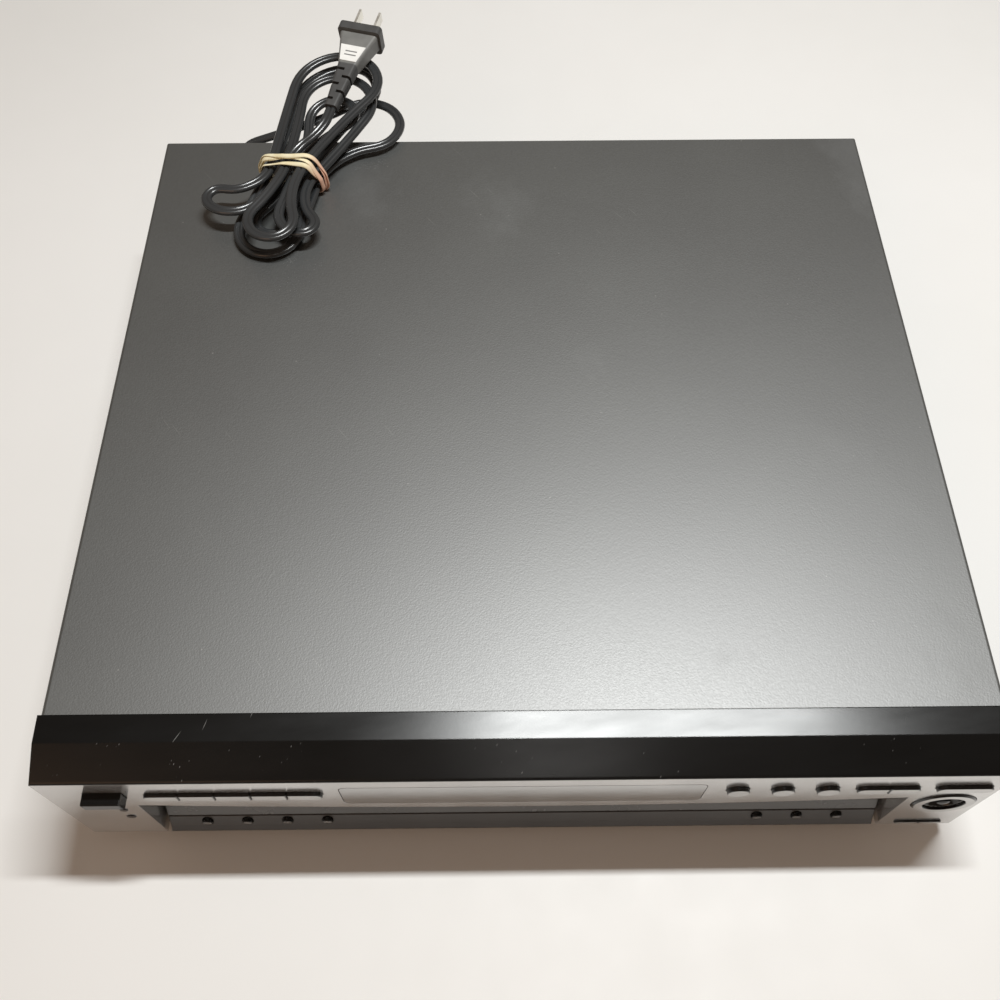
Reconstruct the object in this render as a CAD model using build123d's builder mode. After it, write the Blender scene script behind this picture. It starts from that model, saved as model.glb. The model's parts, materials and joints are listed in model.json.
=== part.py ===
from build123d import *
import os
from math import atan2, cos, pi, radians, sin, sqrt, tan

# A five-disc carousel changer: front-loading drawer, turning platter, lifting optical unit,
# sprung front controls and the mains lead tied in a hank on the cover.
# Millimetres. Sketches use x, depth behind the front face and height above the fascia's lower edge.

os.makedirs("parts", exist_ok=True)

# Discs and the platter that carries them
disc_radius = 60.0
disc_margin = 0.8
disc_count = 5
disc_web = 0.66
platter_edge = 1.4
well_floor = 33.0
well_depth = 4.0
platter_skin = 2.0
pickup_slot = 40.0
slot_inner = 44.0
slot_past = 22.0
hub_radius = 11.0

# Drawer tray and its runners
tray_front = 11.0
tray_floor = 14.2
tray_skin = 2.0
tray_rim = 39.5
tray_margin = 0.3
pocket_margin = 1.0
platter_gap = 2.5
runner_height = 24.0
runner_thick = 2.0
runner_reach = 3.0
slide_gap = 0.3
post_radius = 6.0
running_gap = 0.06
rail_wide = 10.0

# Cabinet
side_room = 44.0
rear_room = 41.2
cover_top = 92.0
foot_drop = 10.0
cover_inset = 1.2
sheet = 1.0
chassis_sheet = 1.2
chassis_bottom = 2.0
sheet_gap = 0.2
bend_radius = 2.0
cover_skirt = 3.0
rear_flange = 11.0
jack_reach = 8.0

# Fascia and cap
wall = 2.5
cap_depth = 29.4
cap_front_drop = 6.5
cap_ridge_depth = 16.9
cap_ridge_drop = 0.7
cap_back_drop = 0.1
cap_skin = 2.0
block_gap = 7.0
band_end_height = 51.0
band_sag = 8.7
band_return = 8.0
band_skin = 2.0
front_gap = 2.0
lip_gap = 0.8

# Sill: the leaning strip under the drawer
sill_knee_depth = 2.0
sill_knee_height = 3.0
sill_top_depth = 4.9
sill_top_height = 9.5
sill_skin = 2.4

# Window
window_left = -82.9
window_right = 81.2
window_drop = 9.1
window_rise = 1.0
window_radius = 3.5
fit_gap = 0.35
flange_lip = 1.5
flange_thick = 1.2

# Front controls
control_drop = 18.1
pill_height = 8.0
pill_proud = 1.8
button_gap = 0.5
disc_buttons = 5
row_margin = 7.2
round_radius = 5.5
round_proud = 2.0
round_names = ["play_button", "pause_button", "stop_button"]
round_first = 14.4
round_last = 12.5
skip_wide = 29.3
skip_margin = 0.3
open_wide = 26.2
low_wide = 24.0
low_height = 5.2
low_pill = 4.4
low_proud = 1.0
small_radius = 2.8
small_height = 6.0
small_pitch = 19.95
small_margin = 18.9
small_left_count = 4
small_right_count = 3
button_stem = 2.2
stem_length = 3.4
power_wide = 17.9
power_margin = 0.9
power_drop = 13.0
power_tall = 9.5
power_proud = 5.65
led_margin = 9.0
led_height = 43.0
led_radius = 2.0
eye_height = 31.0
eye_radius = 2.3
lens_proud = 0.5

# Shuttle ring and stick
ring_height = 41.0
ring_radius = 14.5
ring_shift = 0.9
ring_proud = 1.0
ring_deep = 5.0
ring_lip = 1.2
bowl_radius = 9.6
bowl_deep = 4.6
stick_radius = 3.0
stick_head = 2.4
stick_dome = 0.7
arm_reach = 7.2
arm_width = 2.2

# Feet
foot_radius = 18.0
foot_base = 15.5
foot_inset = 41.8
foot_front = 48.0
foot_back_inset = 39.6

# Gears
ring_module = 3.0
ring_teeth = 100
ring_tall = 3.2
ring_back = 5.0
table_teeth = 12
table_angle = -62.0
rack_module = 2.0
rack_teeth = 41
rack_inset = 21.0
rack_tall = 3.6
rack_back = 4.0
loading_teeth = 14
loading_behind = 22.6
pulley_radius = 18.8
pulley_groove = 16.8
motor_pulley_radius = 5.8
motor_pulley_groove = 3.8
belt_lift = 0.2
belt_thick = 1.0
gear_slack = 0.35

# Optical unit
pivot_behind = 11.6
pivot_height = 24.0
unit_tilt = 7.0
unit_half = 48.0
unit_ahead = 77.7
deck_top = 27.2
deck_skin = 2.0
turntable_radius = 13.0
turntable_top = 34.7
nose_radius = 7.4
lens_start = 24.0
sled_pitches = 11
rod_radius = 1.5
rod_x = 17.0
sled_module = 1.0
sled_teeth = 14
sled_rack_teeth = 14
sled_slack = 0.15
sled_gear_turn = 180.0
sled_low = 22.5

# Bridge and clamper
bridge_height = 44.0
bridge_ahead = 58.7
clamper_radius = 15.0
clamper_low = 37.8

# Boards
board_thick = 1.6
board_drop = 32.0

# Rear panel sockets
jack_radius = 4.15
jack_bore = 1.7
jack_pitch = 16.0
jack_rise = 18.0
jack_rows = 2
jack_columns = 5
jack_x = 40.0
jack_low = 52.0
block_room = 13.4

# Mains lead
cord_size = 5.2
cord_sides = 8
exit_inset = 22.6
exit_height = 30.0
relief_length = 30.0
hank_x = -131.0
hank_depth = 357.0
hank_lean = 14.3
hank_rise = 97.0
layer_step = 6.0
end_straight = 6.0
band_gap = 1.2
band_thick = 1.1
band_wide = 7.0

well_radius = disc_radius + disc_margin
disc_circle = (well_radius + disc_web / 2) / sin(pi / disc_count)
platter_radius = disc_circle + well_radius + platter_edge
pocket_radius = platter_radius + platter_gap
platter_depth = tray_front + tray_skin + pocket_radius + pocket_margin
tray_half = pocket_radius + tray_skin + tray_margin
tray_back = platter_depth + pocket_radius + tray_skin + pocket_margin
rail_half = tray_half + rail_wide
cabinet_width = 2 * (tray_half + side_room)
cabinet_depth = tray_back + rear_room
cover_half = cabinet_width / 2 - cover_inset
inner_half = cover_half - sheet - sheet_gap
deck = chassis_bottom + chassis_sheet
rear_face = cabinet_depth - sheet
front_y = power_proud - (cabinet_depth + jack_reach + power_proud) / 2
face_height = cover_top - cap_front_drop
cap_ridge_height = cover_top - cap_ridge_drop
cap_back_height = cover_top - cap_back_drop
block_edge = tray_half + block_gap
block_middle = (block_edge + cabinet_width / 2) / 2
front_half = block_edge - front_gap
window_top = face_height - window_drop
window_bottom = band_end_height - window_rise
control_height = face_height - control_drop
disc_row_left = row_margin - block_edge
disc_row_right = window_left - row_margin
skip_right = block_edge - skip_margin
skip_left = skip_right - skip_wide
round_step = (skip_left - round_last - window_right - round_first) / (len(round_names) - 1)
round_places = [window_right + round_first + index * round_step for index in range(len(round_names))]
ring_x = block_middle + ring_shift
open_left = ring_x - open_wide / 2
open_right = ring_x + open_wide / 2
low_left = ring_x - low_wide / 2
low_right = ring_x + low_wide / 2
power_right = -block_edge - power_margin
power_left = power_right - power_wide
power_high = face_height - power_drop
power_low = power_high - power_tall
led_place = -block_edge - led_margin
small_places = [small_margin - front_half + index * small_pitch for index in range(small_left_count)]
small_places += [
    front_half - small_margin - index * small_pitch for index in reversed(range(small_right_count))
]
foot_x = cover_half - foot_inset
foot_back = cabinet_depth - foot_back_inset
rack_side = rack_inset - tray_half
loading_depth = cap_depth + loading_behind
motor_x = (chassis_sheet - inner_half - rail_half) / 2
spindle_depth = platter_depth + disc_circle
pivot_depth = tray_back + pivot_behind
unit_front = spindle_depth - unit_ahead
block_front = rear_face - block_room
bridge_front = spindle_depth - bridge_ahead
board_height = cover_top - board_drop
exit_x = exit_inset - inner_half


def face(depth=0.0):
    """Plane parallel to the front, looking out of it: local x, height."""
    return Plane(origin=(0, front_y + depth, foot_drop), x_dir=(1, 0, 0), z_dir=(0, -1, 0))


def level(height=0.0):
    """Horizontal plane: local x, depth."""
    return Plane(origin=(0, front_y, foot_drop + height), x_dir=(1, 0, 0), z_dir=(0, 0, 1))


def upright(x=0.0):
    """Plane across the cabinet: local depth, height."""
    return Plane(origin=(x, front_y, foot_drop), x_dir=(0, 1, 0), z_dir=(1, 0, 0))


def place(x, depth, height):
    return Vector(x, front_y + depth, foot_drop + height)


def keep(piece, name):
    """Label one finished piece and write it."""
    piece.label = name
    export_step(piece, f"parts/{name}.step")


def band_edge(x):
    """Height of the bowed lower edge of the front band."""
    chord_radius = (block_edge**2 + band_sag**2) / (2 * band_sag)
    centre = band_end_height - band_sag + chord_radius
    return centre - sqrt(chord_radius**2 - x**2)


def span(left, right, low, high):
    """Sketch a rectangle from its sides."""
    with Locations(((left + right) / 2, (low + high) / 2)):
        Rectangle(right - left, high - low)


def involute_tooth(teeth, module, slack):
    """Points of one external tooth about angle 0, from root to tip and back, as radius and angle."""
    pitch = module * teeth / 2
    base = pitch * cos(radians(20))
    root = pitch - 1.25 * module
    tip = pitch + 0.95 * module
    half = (pi / 2 - slack / module) / teeth
    involute_pitch = tan(radians(20)) - radians(20)
    flank = []
    for radius in (max(root, base), (pitch + base) / 2, pitch, tip):
        roll = sqrt(max((radius / base) ** 2 - 1, 0))
        involute = roll - atan2(roll, 1)
        flank.append((radius, half + involute_pitch - involute))
    if root < base:
        flank.insert(0, (root, flank[0][1]))
    return [(r, -a) for r, a in flank] + [(r, a) for r, a in reversed(flank)]


def spur_outline(teeth, module, turn=0.0, slack=gear_slack):
    """Closed outline of an external gear, one tooth centred on the turn angle."""
    points = []
    for index in range(teeth):
        middle = radians(turn) + 2 * pi * index / teeth
        for radius, angle in involute_tooth(teeth, module, slack):
            points.append((radius * cos(middle + angle), radius * sin(middle + angle)))
    return points


def rack_outline(count, module, start, pitch_line, back, slack=gear_slack):
    """Straight-sided rack along local y, teeth towards +x, first tooth centred on start."""
    pitch = pi * module
    rise = 0.95 * module
    fall = 1.2 * module
    half = pitch / 4 - slack / 2
    points = [(pitch_line - back, start - pitch / 2), (pitch_line - fall, start - pitch / 2)]
    for index in range(count):
        middle = start + index * pitch
        points.append((pitch_line - fall, middle - half - fall * tan(radians(20))))
        points.append((pitch_line + rise, middle - half + rise * tan(radians(20))))
        points.append((pitch_line + rise, middle + half - rise * tan(radians(20))))
        points.append((pitch_line - fall, middle + half + fall * tan(radians(20))))
    points.append((pitch_line - fall, start + (count - 0.5) * pitch))
    points.append((pitch_line - back, start + (count - 0.5) * pitch))
    return points


# Steel cover: a folded U of sheet with a flange down its back edge
screw_radius = 1.6
side_screw_height = 12.0
side_screw_front = 70.0
side_screw_behind = 65.6
back_screw_inset = 33.8
side_screws = [(side_screw_front, side_screw_height), (cabinet_depth - side_screw_behind, side_screw_height)]
back_screw_x = cover_half - back_screw_inset
back_screws = [-back_screw_x, 0.0, back_screw_x]
back_screw_height = cover_top - rear_flange / 2
with BuildPart() as top_cover:
    with BuildSketch(face(cap_depth)) as folded:
        span(-cover_half, cover_half, cover_skirt, cover_top)
        fillet(folded.vertices().group_by(Axis.Y)[-1], bend_radius)
    extrude(amount=-(cabinet_depth - cap_depth))
    with BuildSketch(face(cap_depth)) as hollow:
        span(-cover_half + sheet, cover_half - sheet, 0, cover_top - sheet)
        fillet(hollow.vertices().group_by(Axis.Y)[-1], bend_radius - sheet)
    extrude(amount=-(cabinet_depth - cap_depth - sheet), mode=Mode.SUBTRACT)
    with BuildSketch(face(cabinet_depth)):
        span(-cover_half + sheet, cover_half - sheet, 0, cover_top - rear_flange)
    extrude(amount=sheet, mode=Mode.SUBTRACT)
    for edge in (-cover_half, cover_half):
        with BuildSketch(upright(edge)):
            with Locations(*side_screws):
                Circle(screw_radius)
        extrude(amount=2 * sheet, both=True, mode=Mode.SUBTRACT)
    with BuildSketch(face(rear_face)):
        with Locations(*[(x, back_screw_height) for x in back_screws]):
            Circle(screw_radius)
    extrude(amount=2 * sheet, both=True, mode=Mode.SUBTRACT)
top_cover.part.label = "top_cover"
export_step(top_cover.part, "parts/top_cover.step")

# Pressed steel base with turned-up flanges, stiffening beads and vent slots
side_flange = 20.0
front_flange = 7.5
bead_rise = 1.2
bead_width = 9.0
bead_length = 90.0
bead_places = [(-105, 250), (105, 250), (-105, 130), (105, 130)]
vent_pitch = 14.0
vent_count = 5
vent_length = 36.0
vent_width = 4.0
vent_places = [(-140, 320), (140, 320)]
foot_screw = 2.0
with BuildPart() as chassis_base:
    with BuildSketch(level(chassis_bottom)):
        span(-inner_half, inner_half, cap_depth, rear_face)
    extrude(amount=chassis_sheet)
    with BuildSketch(level(chassis_bottom)):
        span(-inner_half, -inner_half + chassis_sheet, cap_depth, rear_face - chassis_sheet)
        span(inner_half - chassis_sheet, inner_half, cap_depth, rear_face - chassis_sheet)
    extrude(amount=side_flange)
    with BuildSketch(level(chassis_bottom)):
        span(-inner_half, inner_half, cap_depth, cap_depth + chassis_sheet)
    extrude(amount=front_flange)
    with BuildSketch(level(chassis_bottom)):
        with Locations(*bead_places):
            SlotOverall(bead_length, bead_width, rotation=90)
    extrude(amount=-bead_rise)
    with BuildSketch(level(deck)):
        with Locations(*bead_places):
            SlotOverall(bead_length - 2 * chassis_sheet, bead_width - 2 * chassis_sheet, rotation=90)
    extrude(amount=-bead_rise, mode=Mode.SUBTRACT)
    with BuildSketch(level(chassis_bottom)):
        with Locations(*vent_places):
            with GridLocations(vent_pitch, 0, vent_count, 1):
                SlotOverall(vent_length, vent_width, rotation=90)
    extrude(amount=chassis_sheet, mode=Mode.SUBTRACT)
    for edge in (-inner_half, inner_half):
        with BuildSketch(upright(edge)):
            with Locations(*side_screws):
                Circle(screw_radius)
        extrude(amount=2 * chassis_sheet, both=True, mode=Mode.SUBTRACT)
    with BuildSketch(level(chassis_bottom)):
        with Locations(*[(x, d) for x in (-foot_x, foot_x) for d in (foot_front, foot_back)]):
            Circle(foot_screw)
    extrude(amount=chassis_sheet, mode=Mode.SUBTRACT)
chassis_base.part.label = "chassis_base"
export_step(chassis_base.part, "parts/chassis_base.step")

# Rear panel with its socket holes, lead hole and vents
jack_places = [
    (jack_x + column * jack_pitch, jack_low + row * jack_rise)
    for column in range(jack_columns)
    for row in range(jack_rows)
]
jack_middle = jack_low + jack_rise / 2
optical_x = jack_x - 26.0
optical_wide = 13.0
optical_tall = 12.0
round_socket_x = jack_x - 48.0
round_socket = 6.2
socket_clear = 0.4
relief_flange = 8.0
relief_neck = 5.6
relief_clear = 0.2
rear_vent_x = -110.0
rear_vent_height = 50.0
rear_vent_count = 8
rear_vent_pitch = 9.0
rear_vent_length = 38.0
rear_vent_width = 3.6
with BuildPart() as rear_panel:
    with BuildSketch(face(rear_face)) as plate:
        span(-inner_half, inner_half, deck, cover_top - sheet - sheet_gap)
        fillet(plate.vertices().group_by(Axis.Y)[-1], bend_radius)
        with Locations(*jack_places):
            Circle(jack_radius + socket_clear, mode=Mode.SUBTRACT)
        with Locations((optical_x, jack_middle)):
            Rectangle(optical_wide, optical_tall, mode=Mode.SUBTRACT)
        with Locations((round_socket_x, jack_middle)):
            Circle(round_socket, mode=Mode.SUBTRACT)
        with Locations((exit_x, exit_height)):
            Circle(relief_neck + relief_clear, mode=Mode.SUBTRACT)
        with Locations(*[(x, back_screw_height) for x in back_screws]):
            Circle(screw_radius, mode=Mode.SUBTRACT)
        with Locations((rear_vent_x, rear_vent_height)):
            with GridLocations(rear_vent_pitch, 0, rear_vent_count, 1):
                SlotOverall(rear_vent_length, rear_vent_width, rotation=90, mode=Mode.SUBTRACT)
    extrude(amount=chassis_sheet)
rear_panel.part.label = "rear_panel"
export_step(rear_panel.part, "parts/rear_panel.step")

# Screws of one kind: cover sides, cover back
screw_head = 3.2
screw_head_tall = 1.5
screw_length = 6.0
with BuildPart() as case_screws:
    for x in back_screws:
        with BuildSketch(face(cabinet_depth)):
            with Locations((x, back_screw_height)):
                Circle(screw_head)
        extrude(amount=-screw_head_tall)
        with BuildSketch(face(cabinet_depth)):
            with Locations((x, back_screw_height)):
                Circle(screw_radius - running_gap)
        extrude(amount=screw_length)
    for edge in (-1, 1):
        outer = edge * cover_half
        with BuildSketch(upright(outer)):
            with Locations(*side_screws):
                Circle(screw_head)
        extrude(amount=edge * screw_head_tall)
        with BuildSketch(upright(outer)):
            with Locations(*side_screws):
                Circle(screw_radius - running_gap)
        extrude(amount=-edge * screw_length)
case_screws.part.label = "case_screws"
export_step(case_screws.part, "parts/case_screws.step")

# Four moulded feet with a flared skirt
foot_recess = 1.2
foot_sole = 4.0
foot_flare = 2.5
foot_draft = 1.2
foot_top = foot_drop + chassis_bottom
with BuildPart() as feet:
    for x in (-foot_x, foot_x):
        for depth in (foot_front, foot_back):
            with BuildSketch(Plane(origin=place(x, depth, -foot_drop), x_dir=(1, 0, 0), z_dir=(0, -1, 0))):
                with BuildLine():
                    Polyline(
                        (0, foot_recess), (foot_base - foot_sole, foot_recess),
                        (foot_base - foot_sole + foot_recess, 0), (foot_base, 0),
                        (foot_radius, foot_flare), (foot_radius - foot_draft, foot_top),
                        (0, foot_top), (0, foot_recess),
                    )
                make_face()
            revolve(axis=Axis((x, front_y + depth, 0), (0, 0, 1)))
feet.part.label = "feet"
export_step(feet.part, "parts/feet.step")


def pill(left, right, height, tall):
    """Sketch a flat oblong with rounded ends."""
    with Locations(((left + right) / 2, height)):
        SlotOverall(right - left, tall)


# Moulded fascia: blocks, bowed band, side walls, leaning sill and every control opening
mouth_half = block_edge
sill_back = 1.2
rib_depth = 14.0
sill_hole_deep = 14.0
wall_cut = wall + 2.0
with BuildPart() as front_panel:
    with BuildSketch(face()):
        span(-cabinet_width / 2, cabinet_width / 2, 0, face_height)
    extrude(amount=-cap_depth)
    with BuildSketch(face(wall)):
        span(-cabinet_width / 2 + wall, cabinet_width / 2 - wall, wall, face_height - wall)
    extrude(amount=-cap_depth, mode=Mode.SUBTRACT)
    with BuildSketch(face()):
        with BuildLine():
            Line((mouth_half, 0), (-mouth_half, 0))
            Line((-mouth_half, 0), (-mouth_half, band_end_height))
            ThreePointArc(
                (-mouth_half, band_end_height),
                (0, band_end_height - band_sag),
                (mouth_half, band_end_height),
            )
            Line((mouth_half, band_end_height), (mouth_half, 0))
        make_face()
    extrude(amount=-cap_depth, mode=Mode.SUBTRACT)
    for edge in (-1, 1):
        with BuildSketch(face()):
            inner = edge * (block_edge + wall / 2)
            span(inner - wall / 2, inner + wall / 2, 0, band_end_height + band_skin)
        extrude(amount=-cap_depth)
    with BuildSketch(face()):
        with BuildLine():
            ThreePointArc(
                (-mouth_half, band_end_height),
                (0, band_end_height - band_sag),
                (mouth_half, band_end_height),
            )
            Line((mouth_half, band_end_height), (mouth_half, band_end_height + band_skin))
            ThreePointArc(
                (mouth_half, band_end_height + band_skin),
                (0, band_end_height - band_sag + band_skin),
                (-mouth_half, band_end_height + band_skin),
            )
            Line((-mouth_half, band_end_height + band_skin), (-mouth_half, band_end_height))
        make_face()
    extrude(amount=-band_return)
    with BuildSketch(upright(-front_half)):
        with BuildLine():
            Polyline(
                (0, 0), (sill_knee_depth, sill_knee_height), (sill_top_depth, sill_top_height),
                (sill_top_depth + sill_skin, sill_top_height),
                (sill_knee_depth + sill_skin + sill_back, sill_knee_height), (cap_depth, wall),
                (cap_depth, 0), (0, 0),
            )
        make_face()
    extrude(amount=2 * front_half)
    with BuildSketch(level()):
        span(-block_edge, -front_half, rib_depth, cap_depth)
        span(front_half, block_edge, rib_depth, cap_depth)
    extrude(amount=wall)
    # Window and control openings in the band
    with BuildSketch(face()) as opening:
        span(window_left, window_right, window_bottom, window_top)
        fillet(opening.vertices(), window_radius)
    extrude(amount=-wall, mode=Mode.SUBTRACT)
    with BuildSketch(face()):
        pill(disc_row_left, disc_row_right, control_height, pill_height)
        pill(skip_left, skip_right, control_height, pill_height)
        pill(open_left, open_right, control_height, pill_height)
        pill(low_left, low_right, low_height, low_pill)
        with Locations(*[(x, control_height) for x in round_places]):
            Circle(round_radius)
        with Locations((ring_x, ring_height)):
            Circle(ring_radius + fit_gap)
        with Locations((led_place, led_height)):
            Circle(led_radius)
        with Locations((led_place, eye_height)):
            Circle(eye_radius)
        span(power_left, power_right, power_low, power_high)
    extrude(amount=-wall_cut, mode=Mode.SUBTRACT)
    with BuildSketch(face(-1)):
        with Locations(*[(x, small_height) for x in small_places]):
            Circle(small_radius)
    extrude(amount=-sill_hole_deep, mode=Mode.SUBTRACT)
    # Relief in the side wall for the ring's retaining lip
    with BuildSketch(face(wall)):
        with Locations((ring_x, ring_height)):
            Circle(ring_radius + ring_lip + fit_gap)
    extrude(amount=-(ring_deep - wall + fit_gap), mode=Mode.SUBTRACT)
front_panel.part.label = "front_panel"
export_step(front_panel.part, "parts/front_panel.step")

# Gloss cap along the top front edge, hollow underneath
slope_length = sqrt((cap_ridge_height - face_height) ** 2 + cap_ridge_depth**2)
cap_hollow_front = cap_skin * slope_length / (cap_ridge_height - face_height)
with BuildPart() as top_trim:
    with BuildSketch(upright(-cabinet_width / 2)):
        with BuildLine():
            Polyline(
                (0, face_height), (cap_ridge_depth, cap_ridge_height), (cap_depth, cap_back_height),
                (cap_depth, face_height), (0, face_height),
            )
        make_face()
    extrude(amount=cabinet_width)
    with BuildSketch(upright(-cabinet_width / 2 + cap_skin)):
        with BuildLine():
            Polyline(
                (cap_hollow_front, face_height),
                (cap_ridge_depth, cap_ridge_height - cap_skin * slope_length / cap_ridge_depth),
                (cap_depth - cap_skin, cap_back_height - cap_skin),
                (cap_depth - cap_skin, face_height),
                (cap_hollow_front, face_height),
            )
        make_face()
    extrude(amount=cabinet_width - 2 * cap_skin, mode=Mode.SUBTRACT)
top_trim.part.label = "top_trim"
export_step(top_trim.part, "parts/top_trim.step")

# Smoked window: a plate flush with the band and a flange behind it
with BuildPart() as display_window:
    with BuildSketch(face()) as pane:
        span(window_left + fit_gap, window_right - fit_gap, window_bottom + fit_gap, window_top - fit_gap)
        fillet(pane.vertices(), window_radius - fit_gap)
    extrude(amount=-wall)
    with BuildSketch(face(wall)):
        span(
            window_left - flange_lip, window_right + flange_lip,
            window_bottom - flange_lip, window_top + flange_lip,
        )
    extrude(amount=-flange_thick)
display_window.part.label = "display_window"
export_step(display_window.part, "parts/display_window.step")

# Power lamp and remote eye, each a stepped light guide
with BuildPart() as panel_lenses:
    for height, radius in ((led_height, led_radius), (eye_height, eye_radius)):
        with BuildSketch(face(-lens_proud)):
            with Locations((led_place, height)):
                Circle(radius - running_gap)
        extrude(amount=-(wall + lens_proud))
        with BuildSketch(face(wall)):
            with Locations((led_place, height)):
                Circle(radius + flange_lip)
        extrude(amount=-flange_thick)
    chamfer(panel_lenses.faces().filter_by(Axis.Y).sort_by(Axis.Y)[:2].edges(), 0.3)
panel_lenses.part.label = "panel_lenses"
export_step(panel_lenses.part, "parts/panel_lenses.step")

# Sprung front buttons: a cap through the wall, a flange behind it and a stem to its switch
press_room = 0.2
press_travel = 0.8
switch_gap = press_travel + 0.15
sill_cap_depth = 2.1
sill_button_deep = 7.2


def pill_outline(left, right, height, tall):
    """Outline function of a whole oblong cap."""

    def outline(grow):
        with Locations(((left + right) / 2, height)):
            SlotOverall(right - left - 2 * fit_gap + 2 * grow, tall - 2 * fit_gap + 2 * grow)

    return outline


def row_outline(left, right, count, index, height, tall):
    """Outline function of one cap in a row that shares an oblong opening."""
    step = (right - left) / count
    low_x = left + index * step + button_gap / 2
    high_x = left + (index + 1) * step - button_gap / 2
    clear = tall - 2 * fit_gap

    def outline(grow):
        with BuildSketch(mode=Mode.PRIVATE) as whole:
            with Locations(((left + right) / 2, height)):
                SlotOverall(right - left - 2 * fit_gap, clear)
            if grow:
                span(left, right, height - clear / 2 - grow, height + clear / 2 + grow)
        with BuildSketch(mode=Mode.PRIVATE) as own:
            span(low_x, high_x, height - tall, height + tall)
        add(whole.sketch & own.sketch)

    return outline, ((low_x + high_x) / 2, height)


def round_outline(x, height, radius):
    """Outline function of a round cap."""

    def outline(grow):
        with Locations((x, height)):
            Circle(radius - fit_gap + grow)

    return outline


def button_cap(name, outline, front, back, stem_at, lip=0.7, soften=0.4):
    """One button from its front plane to its flange, with a stem behind."""
    with BuildPart() as cap:
        with BuildSketch(face(front)):
            outline(0.0)
        extrude(amount=front - back - press_room)
        chamfer(cap.faces().sort_by(Axis.Y)[0].edges(), soften)
        with BuildSketch(face(back + press_room)):
            outline(lip)
        extrude(amount=-flange_thick)
        with BuildSketch(face(back + press_room)):
            with Locations(stem_at):
                Circle(button_stem / 2)
        extrude(amount=-stem_length)
    keep(cap.part, name)


for index in range(disc_buttons):
    shape, middle = row_outline(
        disc_row_left, disc_row_right, disc_buttons, index, control_height, pill_height
    )
    button_cap(f"disc_button_{index + 1}", shape, -pill_proud, wall, middle)
for index, name in enumerate(("previous_button", "next_button")):
    shape, middle = row_outline(skip_left, skip_right, 2, index, control_height, pill_height)
    button_cap(name, shape, -pill_proud, wall, middle)
for index, name in enumerate(("low_button_left", "low_button_right")):
    shape, middle = row_outline(low_left, low_right, 2, index, low_height, low_pill)
    button_cap(name, shape, -low_proud, wall, middle, lip=0.3, soften=0.25)
for name, x in zip(round_names, round_places):
    button_cap(name, round_outline(x, control_height, round_radius), -round_proud, wall, (x, control_height))
open_middle = (open_left + open_right) / 2
button_cap(
    "open_button", pill_outline(open_left, open_right, control_height, pill_height),
    -pill_proud, wall, (open_middle, control_height),
)
for index, x in enumerate(small_places):
    button_cap(
        f"sill_button_{index + 1}", round_outline(x, small_height, small_radius),
        sill_cap_depth, sill_button_deep, (x, small_height), lip=0.3, soften=0.3,
    )

# Power button: a deep block with a cut-back lower face and a retaining flange
power_cut_deep = 1.4
power_cut_tall = 2.2
power_soften = 0.35
power_lip = 0.8
with BuildPart() as power_button:
    with BuildSketch(upright(power_left + fit_gap)):
        with BuildLine():
            Polyline(
                (wall + press_room, power_low + fit_gap),
                (-power_proud + power_cut_deep, power_low + fit_gap),
                (-power_proud, power_low + fit_gap + power_cut_tall),
                (-power_proud, power_high - fit_gap),
                (wall + press_room, power_high - fit_gap),
                (wall + press_room, power_low + fit_gap),
            )
        make_face()
    extrude(amount=power_right - power_left - 2 * fit_gap)
    chamfer(power_button.faces().sort_by(Axis.Y)[0].edges(), power_soften)
    with BuildSketch(face(wall + press_room)):
        span(
            power_left - power_lip, power_right + power_lip,
            power_low - power_lip, power_high + power_lip,
        )
    extrude(amount=-flange_thick)
    with BuildSketch(face(wall + press_room)):
        with Locations(((power_left + power_right) / 2, (power_low + power_high) / 2)):
            Circle(button_stem)
    extrude(amount=-stem_length)
power_button.part.label = "power_button"
export_step(power_button.part, "parts/power_button.step")

# Shuttle ring, turned from one section with a lip behind the wall
ring_bevel = 0.8
bowl_gap = 0.3
ring_lip_edge = ring_height + ring_radius + ring_lip
with BuildPart() as shuttle_ring:
    with BuildSketch(upright(ring_x)):
        with BuildLine():
            Polyline(
                (-ring_proud, ring_height + bowl_radius + bowl_gap),
                (-ring_proud, ring_height + ring_radius - ring_bevel),
                (-ring_proud + ring_bevel, ring_height + ring_radius),
                (wall + press_room, ring_height + ring_radius),
                (wall + press_room, ring_lip_edge),
                (ring_deep, ring_lip_edge),
                (ring_deep, ring_height + bowl_radius),
                (-ring_proud + bowl_gap, ring_height + bowl_radius),
                (-ring_proud, ring_height + bowl_radius + bowl_gap),
            )
        make_face()
    revolve(axis=Axis(place(ring_x, 0, ring_height), (0, 1, 0)))
shuttle_ring.part.label = "shuttle_ring"
export_step(shuttle_ring.part, "parts/shuttle_ring.step")

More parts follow.
